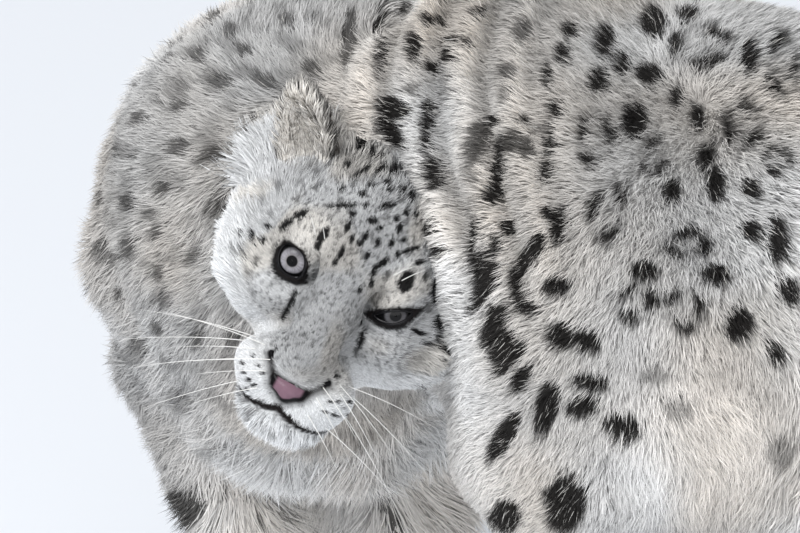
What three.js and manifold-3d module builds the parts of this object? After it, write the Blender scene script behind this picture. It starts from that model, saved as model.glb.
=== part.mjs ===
// A life-size snow leopard that stands and bends round to its left, so that its head leans on its own flank.
// Millimetres, +Z up. The head looks along -Y, the animal's left is +X, and the hindquarters run off along +X.
// The solids are the outside of the winter coat: every radius below holds flesh and fur together.
import * as THREE from "three";
import Module from "manifold-3d";

const wasm = await Module();
wasm.setup();

// Driving dimensions.
const SEAT = 0.3; // gap between neighbouring nodes
const FINEST = { face: 0.06, coat: 1 }; // details under this size are dropped
const EYE_HEIGHT = 545; // height of the point midway between the pupils, which is x = 0, y = 0
const HEAD = { yaw: -11.7, nod: 12.4, roll: 23.2 }; // degrees: towards its right, upwards, onto its left side
const PUPIL = { forward: 66, up: 12 }; // that midpoint, seen from the middle of the skull
const EYE = { apart: 68, forward: 50, up: 12, radius: 16, lid: 2.7, splay: 12 };
const REAR_HEADING = -10; // the way the hindquarters run off, in degrees from +X
const HIP = { x: 400, y: 84, apart: 140 };
const SHOULDER = { x: -18, y: 205, apart: 88 };
const LEG_TOP = 242; // the legs are their own nodes below this height
const PAW_TOP = 62; // and the paws below this one
const STEP = { head: 10, neck: 27, trunk: 41, leg: 24, paw: 19, tail: 33 }; // size of the facets
const BLEND = { head: 16, trunk: 46, leg: 14, root: 34, paw: 7 }; // how softly neighbouring forms run together
const LOCKS = { // one lock of long hair: how far from the next, its length, width, thickness, root, and rise at the tip
  trunk: { gap: 88, long: 118, wide: 66, thick: 17, root: 18, rise: 9 },
  ruff: { gap: 30, long: 44, wide: 27, thick: 9, root: 12, rise: 6 },
  tail: { gap: 90, long: 100, wide: 50, thick: 15, root: 15, rise: 7 },
};
const LOCK = { steps: 3, tries: 1500, seed: 20, flat: 0.3, sway: 0.5, fall: 0.9 }; // how each lock is laid
const WHORL = { x: 214, blend: 90 }; // the upright line where the hair of the near flank parts
const ROOM = { field: 12, ear: 62, ruffEar: 40, seam: 4, floor: 8 }; // how clear of its neighbours a lock stays

const vec = (x, y, z) => new THREE.Vector3(x, y, z);
const rad = THREE.MathUtils.degToRad;

// Forms. Each is a signed distance: negative inside, zero on the coat's outside, positive outside.

// An egg with three half-lengths along three axes. A power over 2 makes it blunter, like a barrel.
class Egg {
  constructor(centre, half, axes, power = 2) {
    Object.assign(this, { centre, half, axes, power });
  }

  distance(x, y, z) {
    const { centre, half, axes, power } = this;
    const [dx, dy, dz] = [x - centre.x, y - centre.y, z - centre.z];
    const shares = axes.map((axis, i) => Math.abs(dx * axis.x + dy * axis.y + dz * axis.z) / half[i]);
    const size = shares.reduce((sum, share) => sum + share ** power, 0) ** (1 / power);
    if (size < 1e-6) return -Math.min(...half);
    const slope = Math.hypot(...shares.map((share, i) => (share / size) ** (power - 1) / half[i]));
    return (size - 1) / slope;
  }
}

// A round limb that tapers from one joint to the next.
class Limb {
  constructor(from, to, startRadius, endRadius) {
    Object.assign(this, { from, startRadius, taper: endRadius - startRadius });
    this.run = to.clone().sub(from);
    this.square = this.run.lengthSq();
  }

  distance(x, y, z) {
    const { from, run } = this;
    const [dx, dy, dz] = [x - from.x, y - from.y, z - from.z];
    const along = (dx * run.x + dy * run.y + dz * run.z) / this.square;
    const share = Math.min(1, Math.max(0, along));
    const off = Math.hypot(dx - share * run.x, dy - share * run.y, dz - share * run.z);
    return off - this.startRadius - share * this.taper;
  }
}

// Two distances run together over a fillet of the given softness.
function melt(a, b, softness) {
  const meet = Math.max(softness - Math.abs(a - b), 0) / softness;
  return Math.min(a, b) - (meet * meet * softness) / 4;
}

// Many forms run together into one.
function flesh(forms, softness) {
  return (x, y, z) => forms.reduce((sum, form) => melt(sum, form.distance(x, y, z), softness), 1e3);
}

// The direction in which a distance grows fastest.
function outward(field, p) {
  const probe = 0.5;
  return vec(
    field(p.x + probe, p.y, p.z) - field(p.x - probe, p.y, p.z),
    field(p.x, p.y + probe, p.z) - field(p.x, p.y - probe, p.z),
    field(p.x, p.y, p.z + probe) - field(p.x, p.y, p.z - probe),
  ).normalize();
}

// Moves a point on to the surface of a field.
function settle(field, start) {
  const p = start.clone();
  for (let turn = 0; turn < 6; turn++) {
    p.addScaledVector(outward(field, p), -field(p.x, p.y, p.z));
  }
  return p;
}

// A closed surface where a field is zero, inside a box, as a net of quads about one step wide.
function skinOf(field, box, step) {
  const size = box.getSize(vec(0, 0, 0));
  const [nx, ny, nz] = [size.x, size.y, size.z].map((s) => Math.ceil(s / step) + 1);
  const sample = new Float32Array(nx * ny * nz);
  const index = (i, j, k) => i + nx * (j + ny * k);
  const corner = (i, j, k) => vec(box.min.x + i * step, box.min.y + j * step, box.min.z + k * step);
  for (let k = 0; k < nz; k++) {
    for (let j = 0; j < ny; j++) {
      for (let i = 0; i < nx; i++) {
        const edge = i * j * k === 0 || i === nx - 1 || j === ny - 1 || k === nz - 1;
        const p = corner(i, j, k);
        const d = field(p.x, p.y, p.z);
        sample[index(i, j, k)] = edge ? Math.max(d, step / 3) : d === 0 ? 1e-4 : d;
      }
    }
  }
  const positions = [];
  const cells = new Map();
  const steps = [0, 1].flatMap((k) => [0, 1].flatMap((j) => [0, 1].map((i) => [i, j, k])));
  const links = steps.flatMap((a, m) =>
    steps.map((b, n) => [m, n]).filter(([, n]) => n > m && steps[n].filter((v, c) => v !== a[c]).length === 1),
  );
  for (let k = 0; k < nz - 1; k++) {
    for (let j = 0; j < ny - 1; j++) {
      for (let i = 0; i < nx - 1; i++) {
        const values = steps.map(([a, b, c]) => sample[index(i + a, j + b, k + c)]);
        const inside = values.filter((v) => v < 0).length;
        if (inside === 0 || inside === 8) continue;
        const sum = vec(0, 0, 0);
        let crossings = 0;
        for (const [m, n] of links) {
          if (values[m] < 0 === values[n] < 0) continue;
          const share = values[m] / (values[m] - values[n]);
          sum.add(vec(...steps[m]).lerp(vec(...steps[n]), share));
          crossings += 1;
        }
        const p = sum.divideScalar(crossings).add(vec(i, j, k)).multiplyScalar(step).add(box.min);
        const shift = THREE.MathUtils.clamp(field(p.x, p.y, p.z), -0.3 * step, 0.3 * step);
        p.addScaledVector(outward(field, p), -shift);
        cells.set(index(i, j, k), positions.length / 3);
        positions.push(p.x, p.y, p.z);
      }
    }
  }
  const faces = [];
  const point = (v) => vec(...positions.slice(3 * v, 3 * v + 3));
  const quad = (corners, flip) => {
    const [a, b, c, d] = flip ? [...corners].reverse() : corners;
    const shorter = point(a).distanceTo(point(c)) <= point(b).distanceTo(point(d));
    faces.push(...(shorter ? [a, b, c, a, c, d] : [a, b, d, b, c, d]));
  };
  for (let k = 0; k < nz - 1; k++) {
    for (let j = 0; j < ny - 1; j++) {
      for (let i = 0; i < nx - 1; i++) {
        const here = sample[index(i, j, k)] < 0;
        const cell = (a, b, c) => cells.get(index(i - a, j - b, k - c));
        if (here !== sample[index(i + 1, j, k)] < 0) {
          quad([cell(0, 1, 1), cell(0, 0, 1), cell(0, 0, 0), cell(0, 1, 0)], !here);
        }
        if (here !== sample[index(i, j + 1, k)] < 0) {
          quad([cell(1, 0, 1), cell(1, 0, 0), cell(0, 0, 0), cell(0, 0, 1)], !here);
        }
        if (here !== sample[index(i, j, k + 1)] < 0) {
          quad([cell(1, 1, 0), cell(0, 1, 0), cell(0, 0, 0), cell(1, 0, 0)], !here);
        }
      }
    }
  }
  return solidOf(positions, faces);
}

// Solids, joined and cut by manifold-3d.
function solidOf(positions, faces) {
  const made = new wasm.Mesh({
    numProp: 3,
    vertProperties: new Float32Array(positions),
    triVerts: new Uint32Array(faces),
  });
  return new wasm.Manifold(made);
}

// The part of a solid on the side of a plane that its normal points to, kept clear of the plane by half a seat.
function beyond(solid, point, normal) {
  const n = normal.clone().normalize();
  return solid.trimByPlane([n.x, n.y, n.z], n.dot(point) + SEAT / 2);
}

const joined = (solid, others) => wasm.Manifold.union([solid, ...others]);

function largest(solid) {
  const pieces = solid.decompose();
  return pieces.reduce((best, piece) => (piece.volume() > best.volume() ? piece : best));
}

function nodeOf(name, solid, material, finest = FINEST.face) {
  const made = largest(solid.simplify(finest)).getMesh();
  const geometry = new THREE.BufferGeometry();
  geometry.setAttribute("position", new THREE.BufferAttribute(made.vertProperties.slice(), 3));
  geometry.setIndex(new THREE.BufferAttribute(made.triVerts.slice(), 1));
  geometry.computeVertexNormals();
  const mesh = new THREE.Mesh(geometry, material);
  mesh.name = name;
  return mesh;
}

// A three.js geometry whose doubled corners are merged, placed by a matrix, as a solid.
function placed(geometry, matrix = new THREE.Matrix4()) {
  const moved = geometry.applyMatrix4(matrix);
  const source = (moved.index ? moved.toNonIndexed() : moved).getAttribute("position");
  const known = new Map();
  const positions = [];
  const faces = [];
  for (let i = 0; i < source.count; i++) {
    const p = [source.getX(i), source.getY(i), source.getZ(i)];
    const key = p.map((v) => Math.round(v * 1e3)).join();
    if (!known.has(key)) known.set(key, known.size) && positions.push(...p);
    faces.push(known.get(key));
  }
  const whole = [];
  for (let i = 0; i < faces.length; i += 3) {
    const [a, b, c] = faces.slice(i, i + 3);
    if (a !== b && b !== c && a !== c) whole.push(a, b, c);
  }
  return solidOf(positions, whole);
}

const ball = (radius, fine = 20) => new THREE.SphereGeometry(radius, fine, Math.round(fine * 0.7));
const placeAt = (p, axes) => new THREE.Matrix4().makeBasis(...axes).setPosition(p);

const coat = (colour) => new THREE.MeshStandardMaterial({ color: colour, roughness: 0.9, metalness: 0 });
const FUR = coat(0xc9c6c0);
const PALE_FUR = coat(0xe6e4e0);
const EYE_FINISH = new THREE.MeshStandardMaterial({ color: 0x9aa2a8, roughness: 0.06, metalness: 0 });
const NOSE_FINISH = new THREE.MeshStandardMaterial({ color: 0x8a6a6e, roughness: 0.45, metalness: 0 });

// The head's own frame: left, forward and up, from the middle of the skull.
const yaw = rad(HEAD.yaw);
const nod = rad(HEAD.nod);
const roll = rad(HEAD.roll);
const forward = vec(Math.sin(yaw) * Math.cos(nod), -Math.cos(yaw) * Math.cos(nod), Math.sin(nod));
const levelLeft = vec(Math.cos(yaw), Math.sin(yaw), 0);
const levelUp = forward.clone().cross(levelLeft);
const left = levelLeft.clone().multiplyScalar(Math.cos(roll)).addScaledVector(levelUp, -Math.sin(roll));
const up = levelUp.clone().multiplyScalar(Math.cos(roll)).addScaledVector(levelLeft, Math.sin(roll));
const headAxes = [left.clone().negate(), forward, up];
const skull = vec(0, 0, EYE_HEIGHT).addScaledVector(forward, -PUPIL.forward).addScaledVector(up, -PUPIL.up);

// A point of the head, in millimetres to its left, forward and up from the middle of the skull.
function head(l, f, u) {
  return skull.clone().addScaledVector(left, l).addScaledVector(forward, f).addScaledVector(up, u);
}

function headEgg(l, f, u, half) {
  return new Egg(head(l, f, u), half, headAxes);
}

const pair = (make) => [make(1), make(-1)];

const headForms = [
  headEgg(0, -8, 6, [72, 80, 60]), // braincase
  headEgg(0, 32, 21, [50, 42, 33]), // forehead
  ...pair((s) => headEgg(47 * s, 16, -18, [36, 46, 40])), // cheeks
  ...pair((s) => headEgg(60 * s, -14, -10, [28, 38, 44])), // ruff below the ears
  ...pair((s) => headEgg(31 * s, 46, 32, [18, 13, 9])), // brows
  ...pair((s) => headEgg(31 * s, 55, -13, [21, 18, 15])), // cheekbones below the eyes
  new Limb(head(0, 54, 13), head(0, 109, -22), 24, 16.5), // bridge of the nose
  ...pair((s) => headEgg(19 * s, 99, -43, [23, 24, 18])), // whisker pads
  headEgg(0, 99, -67, [23, 21, 18]), // chin
  new Limb(head(0, 82, -54), head(0, 8, -44), 26, 44), // lower jaw and throat
];
const sockets = pair((s) => headEgg((s * EYE.apart) / 2, EYE.forward + 11, EYE.up, [20, 18, 15]));

// The trunk, chest to rump. Heading is the way towards the tail, in degrees from +X.
function trunkEgg(x, y, z, half, heading, power = 2) {
  const along = vec(Math.cos(rad(heading)), Math.sin(rad(heading)), 0);
  return new Egg(vec(x, y, z), half, [along, vec(-along.y, along.x, 0), vec(0, 0, 1)], power);
}

const chestForms = [
  trunkEgg(-42, 222, 446, [118, 136, 144], 90, 2.2), // rib cage
  trunkEgg(-24, 165, 395, [86, 96, 112], 90, 2.2), // brisket
  trunkEgg(-18, 272, 470, [108, 114, 118], 70, 2.2), // withers
];
const neckForms = [
  new Limb(head(0, -30, -2), vec(-12, 158, 500), 70, 88),
  new Limb(vec(-12, 158, 500), vec(-32, 225, 480), 88, 108),
];
const backForm = trunkEgg(58, 262, 482, [118, 122, 146], 0, 2.2);
const hindForms = [
  trunkEgg(104, 198, 506, [118, 122, 150], -24, 2.5), // waist
  trunkEgg(178, 48, 450, [99, 112, 158], REAR_HEADING, 2.5), // fold of the flank below the cheek
  trunkEgg(132, 50, 545, [75, 66, 82], REAR_HEADING), // and the one over the left ear
  trunkEgg(240, 112, 478, [165, 152, 184], REAR_HEADING, 2.5), // flank and belly
  trunkEgg(392, 86, 488, [142, 138, 162], REAR_HEADING, 2.2), // hips
  trunkEgg(470, 72, 486, [82, 100, 122], REAR_HEADING, 2), // rump
];

// Legs. Each joint is given along the body towards the tail, by height and by radius, from the hip or the shoulder.
const LEGS = {
  foreleg: {
    joints: [[10, 455, 62], [22, 350, 64], [16, 285, 60], [0, 222, 45], [-14, 150, 38], [-22, 92, 35], [-22, 56, 34]],
    paw: -46,
    apart: [1.75, 1.8, 1.6, 1.25, 1.08, 1, 1],
  },
  hindleg: {
    joints: [[-2, 440, 92], [-52, 350, 76], [-44, 288, 58], [6, 226, 45], [48, 172, 36], [40, 112, 32], [34, 56, 31]],
    paw: 6,
    apart: [0.8, 1.05, 1.05, 1, 1, 1, 1],
  },
};
const HINDWARD = { foreleg: 90, hindleg: REAR_HEADING };
const ROOT = { foreleg: SHOULDER, hindleg: HIP };
const STRIDE = { foreleg_right: 0, foreleg_left: -14, hindleg_right: 26, hindleg_left: -22 };

// A place by the body's own directions, from the middle between the hips or the shoulders. Side is 1 on the left.
function beside(kind, side, share, back, height) {
  const { x, y, apart } = ROOT[kind];
  const along = rad(HINDWARD[kind]);
  const out = (side * share * apart) / 2;
  return vec(x + back * Math.cos(along) + out * Math.sin(along), y + back * Math.sin(along) - out * Math.cos(along),
    height);
}

function legOf(kind, side) {
  const { joints, apart, paw } = LEGS[kind];
  const stride = STRIDE[`${kind}_${side > 0 ? "left" : "right"}`];
  const shares = joints.map(([, height]) => Math.min(1, Math.max(0, (joints[0][1] - height) / joints[0][1])));
  const places = joints.map(([back, height], i) => beside(kind, side, apart[i], back + stride * shares[i], height));
  const limbs = joints.slice(1).map(([, , r], i) => new Limb(places[i], places[i + 1], joints[i][2], r));
  const inner = beside(kind, 0, 1, 0, 0);
  const midline = [inner, beside(kind, side, 1, 0, 0).sub(inner)];
  return { places, limbs, midline, paw: beside(kind, side, 1, paw + stride, 0), heading: HINDWARD[kind] + 180 };
}
const legs = {};
for (const kind of Object.keys(LEGS)) {
  legs[`${kind}_left`] = legOf(kind, 1);
  legs[`${kind}_right`] = legOf(kind, -1);
}
const thighs = pair((s) => new Egg(beside("hindleg", s, 0.86, -40, 412), [92, 62, 122],
  trunkEgg(0, 0, 0, [], REAR_HEADING).axes, 2.2));

// A paw: a broad pad, with four toes in an arc.
const PAW = { long: 54, wide: 43, tall: 33, toe: [27, 13.5, 22], reach: 42, fan: 19 };
function pawParts({ paw, heading }) {
  const turned = (spread) => trunkEgg(0, 0, 0, [], heading + spread).axes;
  const pad = new Egg(vec(paw.x, paw.y, PAW.tall - 6), [PAW.long, PAW.wide, PAW.tall], turned(0));
  const toes = [-1.5, -0.5, 0.5, 1.5].map((slot) => {
    const axes = turned(slot * PAW.fan);
    const middle = vec(paw.x, paw.y, PAW.toe[2] - 4).addScaledVector(axes[0], PAW.reach);
    return placed(ball(1, 7).scale(PAW.toe[0], PAW.toe[2], PAW.toe[1]).rotateX(Math.PI / 2), placeAt(middle, axes));
  });
  return { pad, toes };
}

// The tail: its middle line from the rump to the tip, and its radius along it.
const TAIL_LINE = new THREE.CatmullRomCurve3([
  vec(500, 66, 520), vec(572, 40, 470), vec(618, 22, 380), vec(640, 14, 270), vec(652, 22, 165),
  vec(680, 52, 88), vec(736, 108, 62), vec(788, 176, 70), vec(818, 244, 104), vec(828, 296, 156),
]);
const TAIL = { pieces: 16, base: 45, middle: 52, tip: 45 };
const tailRadius = (t) => (t < 0.5 ? TAIL.base + (TAIL.middle - TAIL.base) * 2 * t
  : TAIL.middle + (TAIL.tip - TAIL.middle) * (2 * t - 1));
const tailForms = Array.from({ length: TAIL.pieces }, (_, i) => {
  const [t0, t1] = [i / TAIL.pieces, (i + 1) / TAIL.pieces];
  return new Limb(TAIL_LINE.getPointAt(t0), TAIL_LINE.getPointAt(t1), tailRadius(t0), tailRadius(t1));
});

// Whole fields: the front as far as the bend, all behind it, and the head with its neck.
function limbed(forms, limbs) {
  const [body, leg] = [flesh(forms, BLEND.trunk), limbs.map((limb) => flesh(limb, BLEND.leg))];
  return (x, y, z) => leg.reduce((sum, part) => melt(sum, part(x, y, z), BLEND.root), body(x, y, z));
}
const frontField = limbed([...chestForms, neckForms[1], backForm], [legs.foreleg_left.limbs, legs.foreleg_right.limbs]);
const rearField = limbed([backForm, ...hindForms, ...thighs], [legs.hindleg_left.limbs, legs.hindleg_right.limbs,
  tailForms]);
const wholeHead = flesh([...headForms, ...neckForms], BLEND.head);
const headField = (x, y, z) =>
  sockets.reduce((solid, socket) => -melt(-solid, socket.distance(x, y, z), 7), wholeHead(x, y, z));

const boxOf = (...corners) => new THREE.Box3().setFromPoints(corners);

// The head as far back as the neck, cut square to the way it looks.
const NECK_CUT = head(0, -62, 0);

// An ear: the cup between two eggs, its back against the head.
const EAR = { half: [21, 13, 40], hollow: [16.5, 13, 35], ahead: 8 };
function tilted(leftLean, foreTurn) {
  const stand = up.clone().multiplyScalar(Math.cos(leftLean)).addScaledVector(left, Math.sin(leftLean));
  const face = forward.clone().multiplyScalar(Math.cos(foreTurn)).addScaledVector(left, Math.sin(foreTurn));
  const open = face.addScaledVector(stand, -face.dot(stand)).normalize();
  return [open.clone().cross(stand), open, stand];
}
const EARS = {
  ear_right: [head(-65, -26, 50), tilted(rad(-30), rad(-22))],
  ear_left: [head(66, -34, 40), tilted(rad(58), rad(30))],
};

// The planes that part the nodes: a point and a normal each.
const upright = vec(0, 0, 1);
const cuts = {
  legs: [vec(0, 0, LEG_TOP), upright],
  hips: [vec(300, 100, 450), vec(0.985, -0.174, 0)],
  head: [NECK_CUT, forward],
  neck: [vec(-20, 150, 440), vec(0.05, -0.8, 0.6)],
  tail: [TAIL_LINE.getPointAt(0.05), TAIL_LINE.getTangentAt(0.05)],
};
const TAIL_CUTS = [0.05, 0.28, 0.52, 0.76];
const tailPlane = (t) => [TAIL_LINE.getPointAt(t), TAIL_LINE.getTangentAt(t)];
const BEND = { at: vec(64, 195, 330), turn: rad(21) };
const bendNormal = vec(Math.cos(BEND.turn), Math.sin(BEND.turn), 0);

// Long winter hair in locks: flat blades that are rooted deep, taper, bend along the coat and overlap.
function seeded(seed) {
  let state = seed;
  return () => {
    state = (state * 1664525 + 1013904223) % 4294967296;
    return state / 4294967296;
  };
}

// The four corners of a lock at each step, and its tip.
function lockLine(field, root, lieAt, size, draw) {
  const [sway, scale] = [LOCK.sway * (draw() - 0.5), 0.85 + 0.3 * draw()];
  const stations = [];
  let p = root;
  for (let k = 0; k <= LOCK.steps; k++) {
    const share = k / LOCK.steps;
    const normal = outward(field, p);
    const lie = lieAt(p, normal);
    const side = lie.clone().cross(normal);
    const height = k === 0 ? -size.root : size.rise * share;
    const middle = p.clone().addScaledVector(normal, height);
    const half = (size.wide * scale * Math.min(1, 1.5 * (1 - share) ** 0.8)) / 2;
    const thick = (size.thick * (1 - 0.5 * share)) / 2;
    const edges = [[-half, -LOCK.flat * thick], [0, thick], [half, -LOCK.flat * thick], [0, -thick]];
    stations.push(k === LOCK.steps ? [middle]
      : edges.map(([x, y]) => middle.clone().addScaledVector(side, x).addScaledVector(normal, y)));
    const way = lie.addScaledVector(side, sway).normalize();
    p = settle(field, p.clone().addScaledVector(way, (size.long * scale) / LOCK.steps));
  }
  return stations;
}

function lockSolid(stations) {
  const last = stations.length - 1;
  const faces = [0, 2, 1, 0, 3, 2];
  for (let k = 0; k < last; k++) {
    for (let i = 0; i < 4; i++) {
      const [a, b] = [4 * k + i, 4 * k + ((i + 1) % 4)];
      faces.push(...(k + 1 === last ? [a, b, 4 * last] : [a, b + 4, a + 4, a, b, b + 4]));
    }
  }
  return solidOf(stations.flat().flatMap((p) => p.toArray()), faces);
}

// Locks spread evenly over the part of a field that lies in a box, where every corner of each passes a test.
function locksOn(field, box, size, lieAt, clear) {
  const draw = seeded(LOCK.seed);
  const span = box.getSize(vec(0, 0, 0));
  const roots = [];
  const locks = [];
  for (let i = 0; i < LOCK.tries; i++) {
    const root = settle(field, span.clone().multiply(vec(draw(), draw(), draw())).add(box.min));
    if (Math.abs(field(root.x, root.y, root.z)) > 0.5) continue;
    if (roots.some((other) => other.distanceTo(root) < size.gap)) continue;
    const stations = lockLine(field, root, lieAt, size, draw);
    if (!clear(stations.flat())) continue;
    roots.push(root);
    locks.push(lockSolid(stations));
  }
  return locks;
}

// The lie of the coat: a way along the body and down, square to the surface's normal.
function laid(way, normal) {
  const lie = way.add(vec(0, 0, -LOCK.fall));
  return lie.addScaledVector(normal, -lie.dot(normal)).normalize();
}
const hindward = (heading) => vec(Math.cos(rad(heading)), Math.sin(rad(heading)), 0);
const foreLie = (p, normal) => laid(hindward(HINDWARD.foreleg), normal);
function hindLie(p, normal) {
  const parted = normal.y < 0 ? THREE.MathUtils.clamp((p.x - WHORL.x) / WHORL.blend, -1, 1) : 1;
  return laid(hindward(HINDWARD.hindleg).multiplyScalar(parted), normal);
}
const TAIL_SPOTS = Array.from({ length: 41 }, (_, i) => ({
  at: TAIL_LINE.getPointAt(i / 40),
  way: TAIL_LINE.getTangentAt(i / 40),
}));
function tailLie(p, normal) {
  const near = TAIL_SPOTS.reduce((best, spot) => (spot.at.distanceTo(p) < best.at.distanceTo(p) ? spot : best));
  return near.way.clone().addScaledVector(normal, -near.way.dot(normal)).normalize();
}
function ruffLie(p, normal) {
  const side = Math.sign(p.clone().sub(skull).dot(left));
  const way = left.clone().multiplyScalar(0.35 * side).addScaledVector(forward, -0.5).addScaledVector(up, -0.8);
  return way.addScaledVector(normal, -way.dot(normal)).normalize();
}

// Tests that keep a lock on its own node: clear of every plane, of the other half of the body and of the head.
const beyondOf = ([point, normal], p) => p.clone().sub(point).dot(normal) / normal.length();
const inField = (field, p) => field(p.x, p.y, p.z);
function oneSide(corners, plane) {
  const offs = corners.map((p) => beyondOf(plane, p));
  return Math.min(...offs) > ROOM.seam || Math.max(...offs) < -ROOM.seam;
}
const offEars = (p, room) => Object.values(EARS).every(([centre]) => centre.distanceTo(p) > room);
const bendWise = (p) => beyondOf([BEND.at, bendNormal], p);
const behindBend = (p) => beyondOf([BEND.at, upright.clone().cross(bendNormal)], p);
const trunkPlanes = [cuts.hips, cuts.neck, cuts.tail];
function foreClear(corners) {
  const free = (p) => p.z > LEG_TOP + ROOM.floor && bendWise(p) < -ROOM.seam && offEars(p, ROOM.ear)
    && (behindBend(p) > ROOM.seam || inField(rearField, p) > ROOM.field)
    && (beyondOf(cuts.head, p) < -ROOM.seam || inField(headField, p) > ROOM.field);
  return corners.every(free) && trunkPlanes.every((plane) => oneSide(corners, plane));
}
function hindClear(corners) {
  const free = (p) => p.z > LEG_TOP + ROOM.floor && inField(headField, p) > ROOM.field && offEars(p, ROOM.ear)
    && (bendWise(p) > ROOM.seam || (behindBend(p) < -ROOM.seam && inField(frontField, p) > ROOM.field));
  return corners.every(free) && beyondOf(cuts.tail, corners[0]) < 0
    && trunkPlanes.every((plane) => oneSide(corners, plane));
}
function ruffClear(corners) {
  const [ahead, above] = [[head(0, 24, 0), forward], [head(0, 0, 32), up]];
  const free = (p) => beyondOf(cuts.head, p) > 2 * ROOM.seam && beyondOf(ahead, p) < 0 && beyondOf(above, p) < 0
    && offEars(p, ROOM.ruffEar) && inField(rearField, p) > ROOM.seam && inField(frontField, p) > ROOM.seam;
  return corners.every(free);
}
function tailClear(corners) {
  const free = (p) => p.x > HIP.x + 160 && p.z > ROOM.floor;
  return corners.every(free) && TAIL_CUTS.every((t) => oneSide(corners, tailPlane(t)));
}
const headBox = boxOf(skull.clone().addScalar(-148.5), skull.clone().addScalar(148.5));
function headBlock(grow, step) {
  const block = skinOf((x, y, z) => headField(x, y, z) - grow, headBox, step);
  return block.trimByPlane(forward.toArray(), forward.dot(NECK_CUT) - grow);
}
// One eye looks forward and a little outward. The gap between its lids has a half-width, half-height and tilt.
function eyeParts(side, [wide, tall, tilt]) {
  const centre = head((side * EYE.apart) / 2, EYE.forward, EYE.up);
  const splay = rad(EYE.splay) * side;
  const look = forward.clone().multiplyScalar(Math.cos(splay)).addScaledVector(left, Math.sin(splay));
  const at = placeAt(centre, [look.clone().cross(up), look, up]);
  const slot = new THREE.CylinderGeometry(1, 1, 40, 14).scale(wide, 1, tall).translate(0, 20, 0);
  const gap = placed(slot.applyMatrix4(new THREE.Matrix4().makeRotationY(rad(tilt) * side)), at);
  const seat = placed(ball(EYE.radius + 1.5 * SEAT, 14), at);
  return {
    eye: placed(ball(EYE.radius, 14), at),
    seat,
    lids: placed(ball(EYE.radius + EYE.lid, 14), at).subtract(gap),
  };
}

// A tube along a curve that lies on the skin of the head.
function tube(points, radius, steps, sides = 5) {
  const turns = Array.from({ length: sides }, (_, i) => (2 * Math.PI * i) / sides);
  const section = new THREE.Shape(turns.map((t) => new THREE.Vector2(radius * Math.cos(t), radius * Math.sin(t))));
  const path = new THREE.CatmullRomCurve3(points.map((p) => settle(headField, head(...p))));
  return placed(new THREE.ExtrudeGeometry(section, { steps, extrudePath: path, bevelEnabled: false }));
}
const across = (half) => [...half, ...half.slice(0, -1).reverse().map(([l, f, u]) => [-l, f, u])];
const MOUTH = across([[42, 80, -54], [33, 100, -61], [19, 114, -62], [7, 120, -59], [0, 121, -56]]);
const LIP = across([[36, 92, -62], [26, 108, -68], [13, 117, -69], [0, 119, -66]]);

// The nose leather, and its two nostrils.
const noseSolid = (grow) =>
  placed(ball(1, 12).scale(20 + grow, 12 + grow, 11 + grow), placeAt(head(0, 119.5, -35), headAxes));
const nostrils = pair((s) => placed(ball(1, 6).scale(4, 9, 3), placeAt(head(10 * s, 130, -37), headAxes)));

// The cup of an ear, its back cut by the head.
function earSolid([centre, axes]) {
  const outer = placed(ball(1, 12).scale(...EAR.half), placeAt(centre, axes));
  const hollowAt = placeAt(centre.clone().addScaledVector(axes[1], EAR.ahead), axes);
  return outer.subtract(placed(ball(1, 10).scale(...EAR.hollow), hollowAt));
}
const earBlock = ([centre, axes]) =>
  placed(ball(1, 10).scale(...EAR.half.map((h) => h + 4)), placeAt(centre, axes));

const eyes = { eye_right: eyeParts(-1, [12, 9.2, 40]), eye_left: eyeParts(1, [14, 5.8, 30]) };
const clearHead = headBlock(3, 27);
const headSeat = headBlock(SEAT, STEP.head);
function headSolid() {
  const block = headBlock(0, STEP.head).trimByPlane(forward.toArray(), forward.dot(NECK_CUT) + SEAT / 2);
  const ruffed = joined(block, locksOn(headField, headBox, LOCKS.ruff, ruffLie, ruffClear));
  const lidded = Object.values(eyes).reduce((solid, { lids, seat }) => solid.add(lids).subtract(seat), ruffed);
  return lidded.add(tube(LIP, 3, 14)).subtract(tube(MOUTH, 1.6, 18)).subtract(noseSolid(SEAT));
}
const ears = Object.fromEntries(Object.entries(EARS).map(([name, ear]) => [name, earSolid(ear).subtract(headSeat)]));

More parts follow.
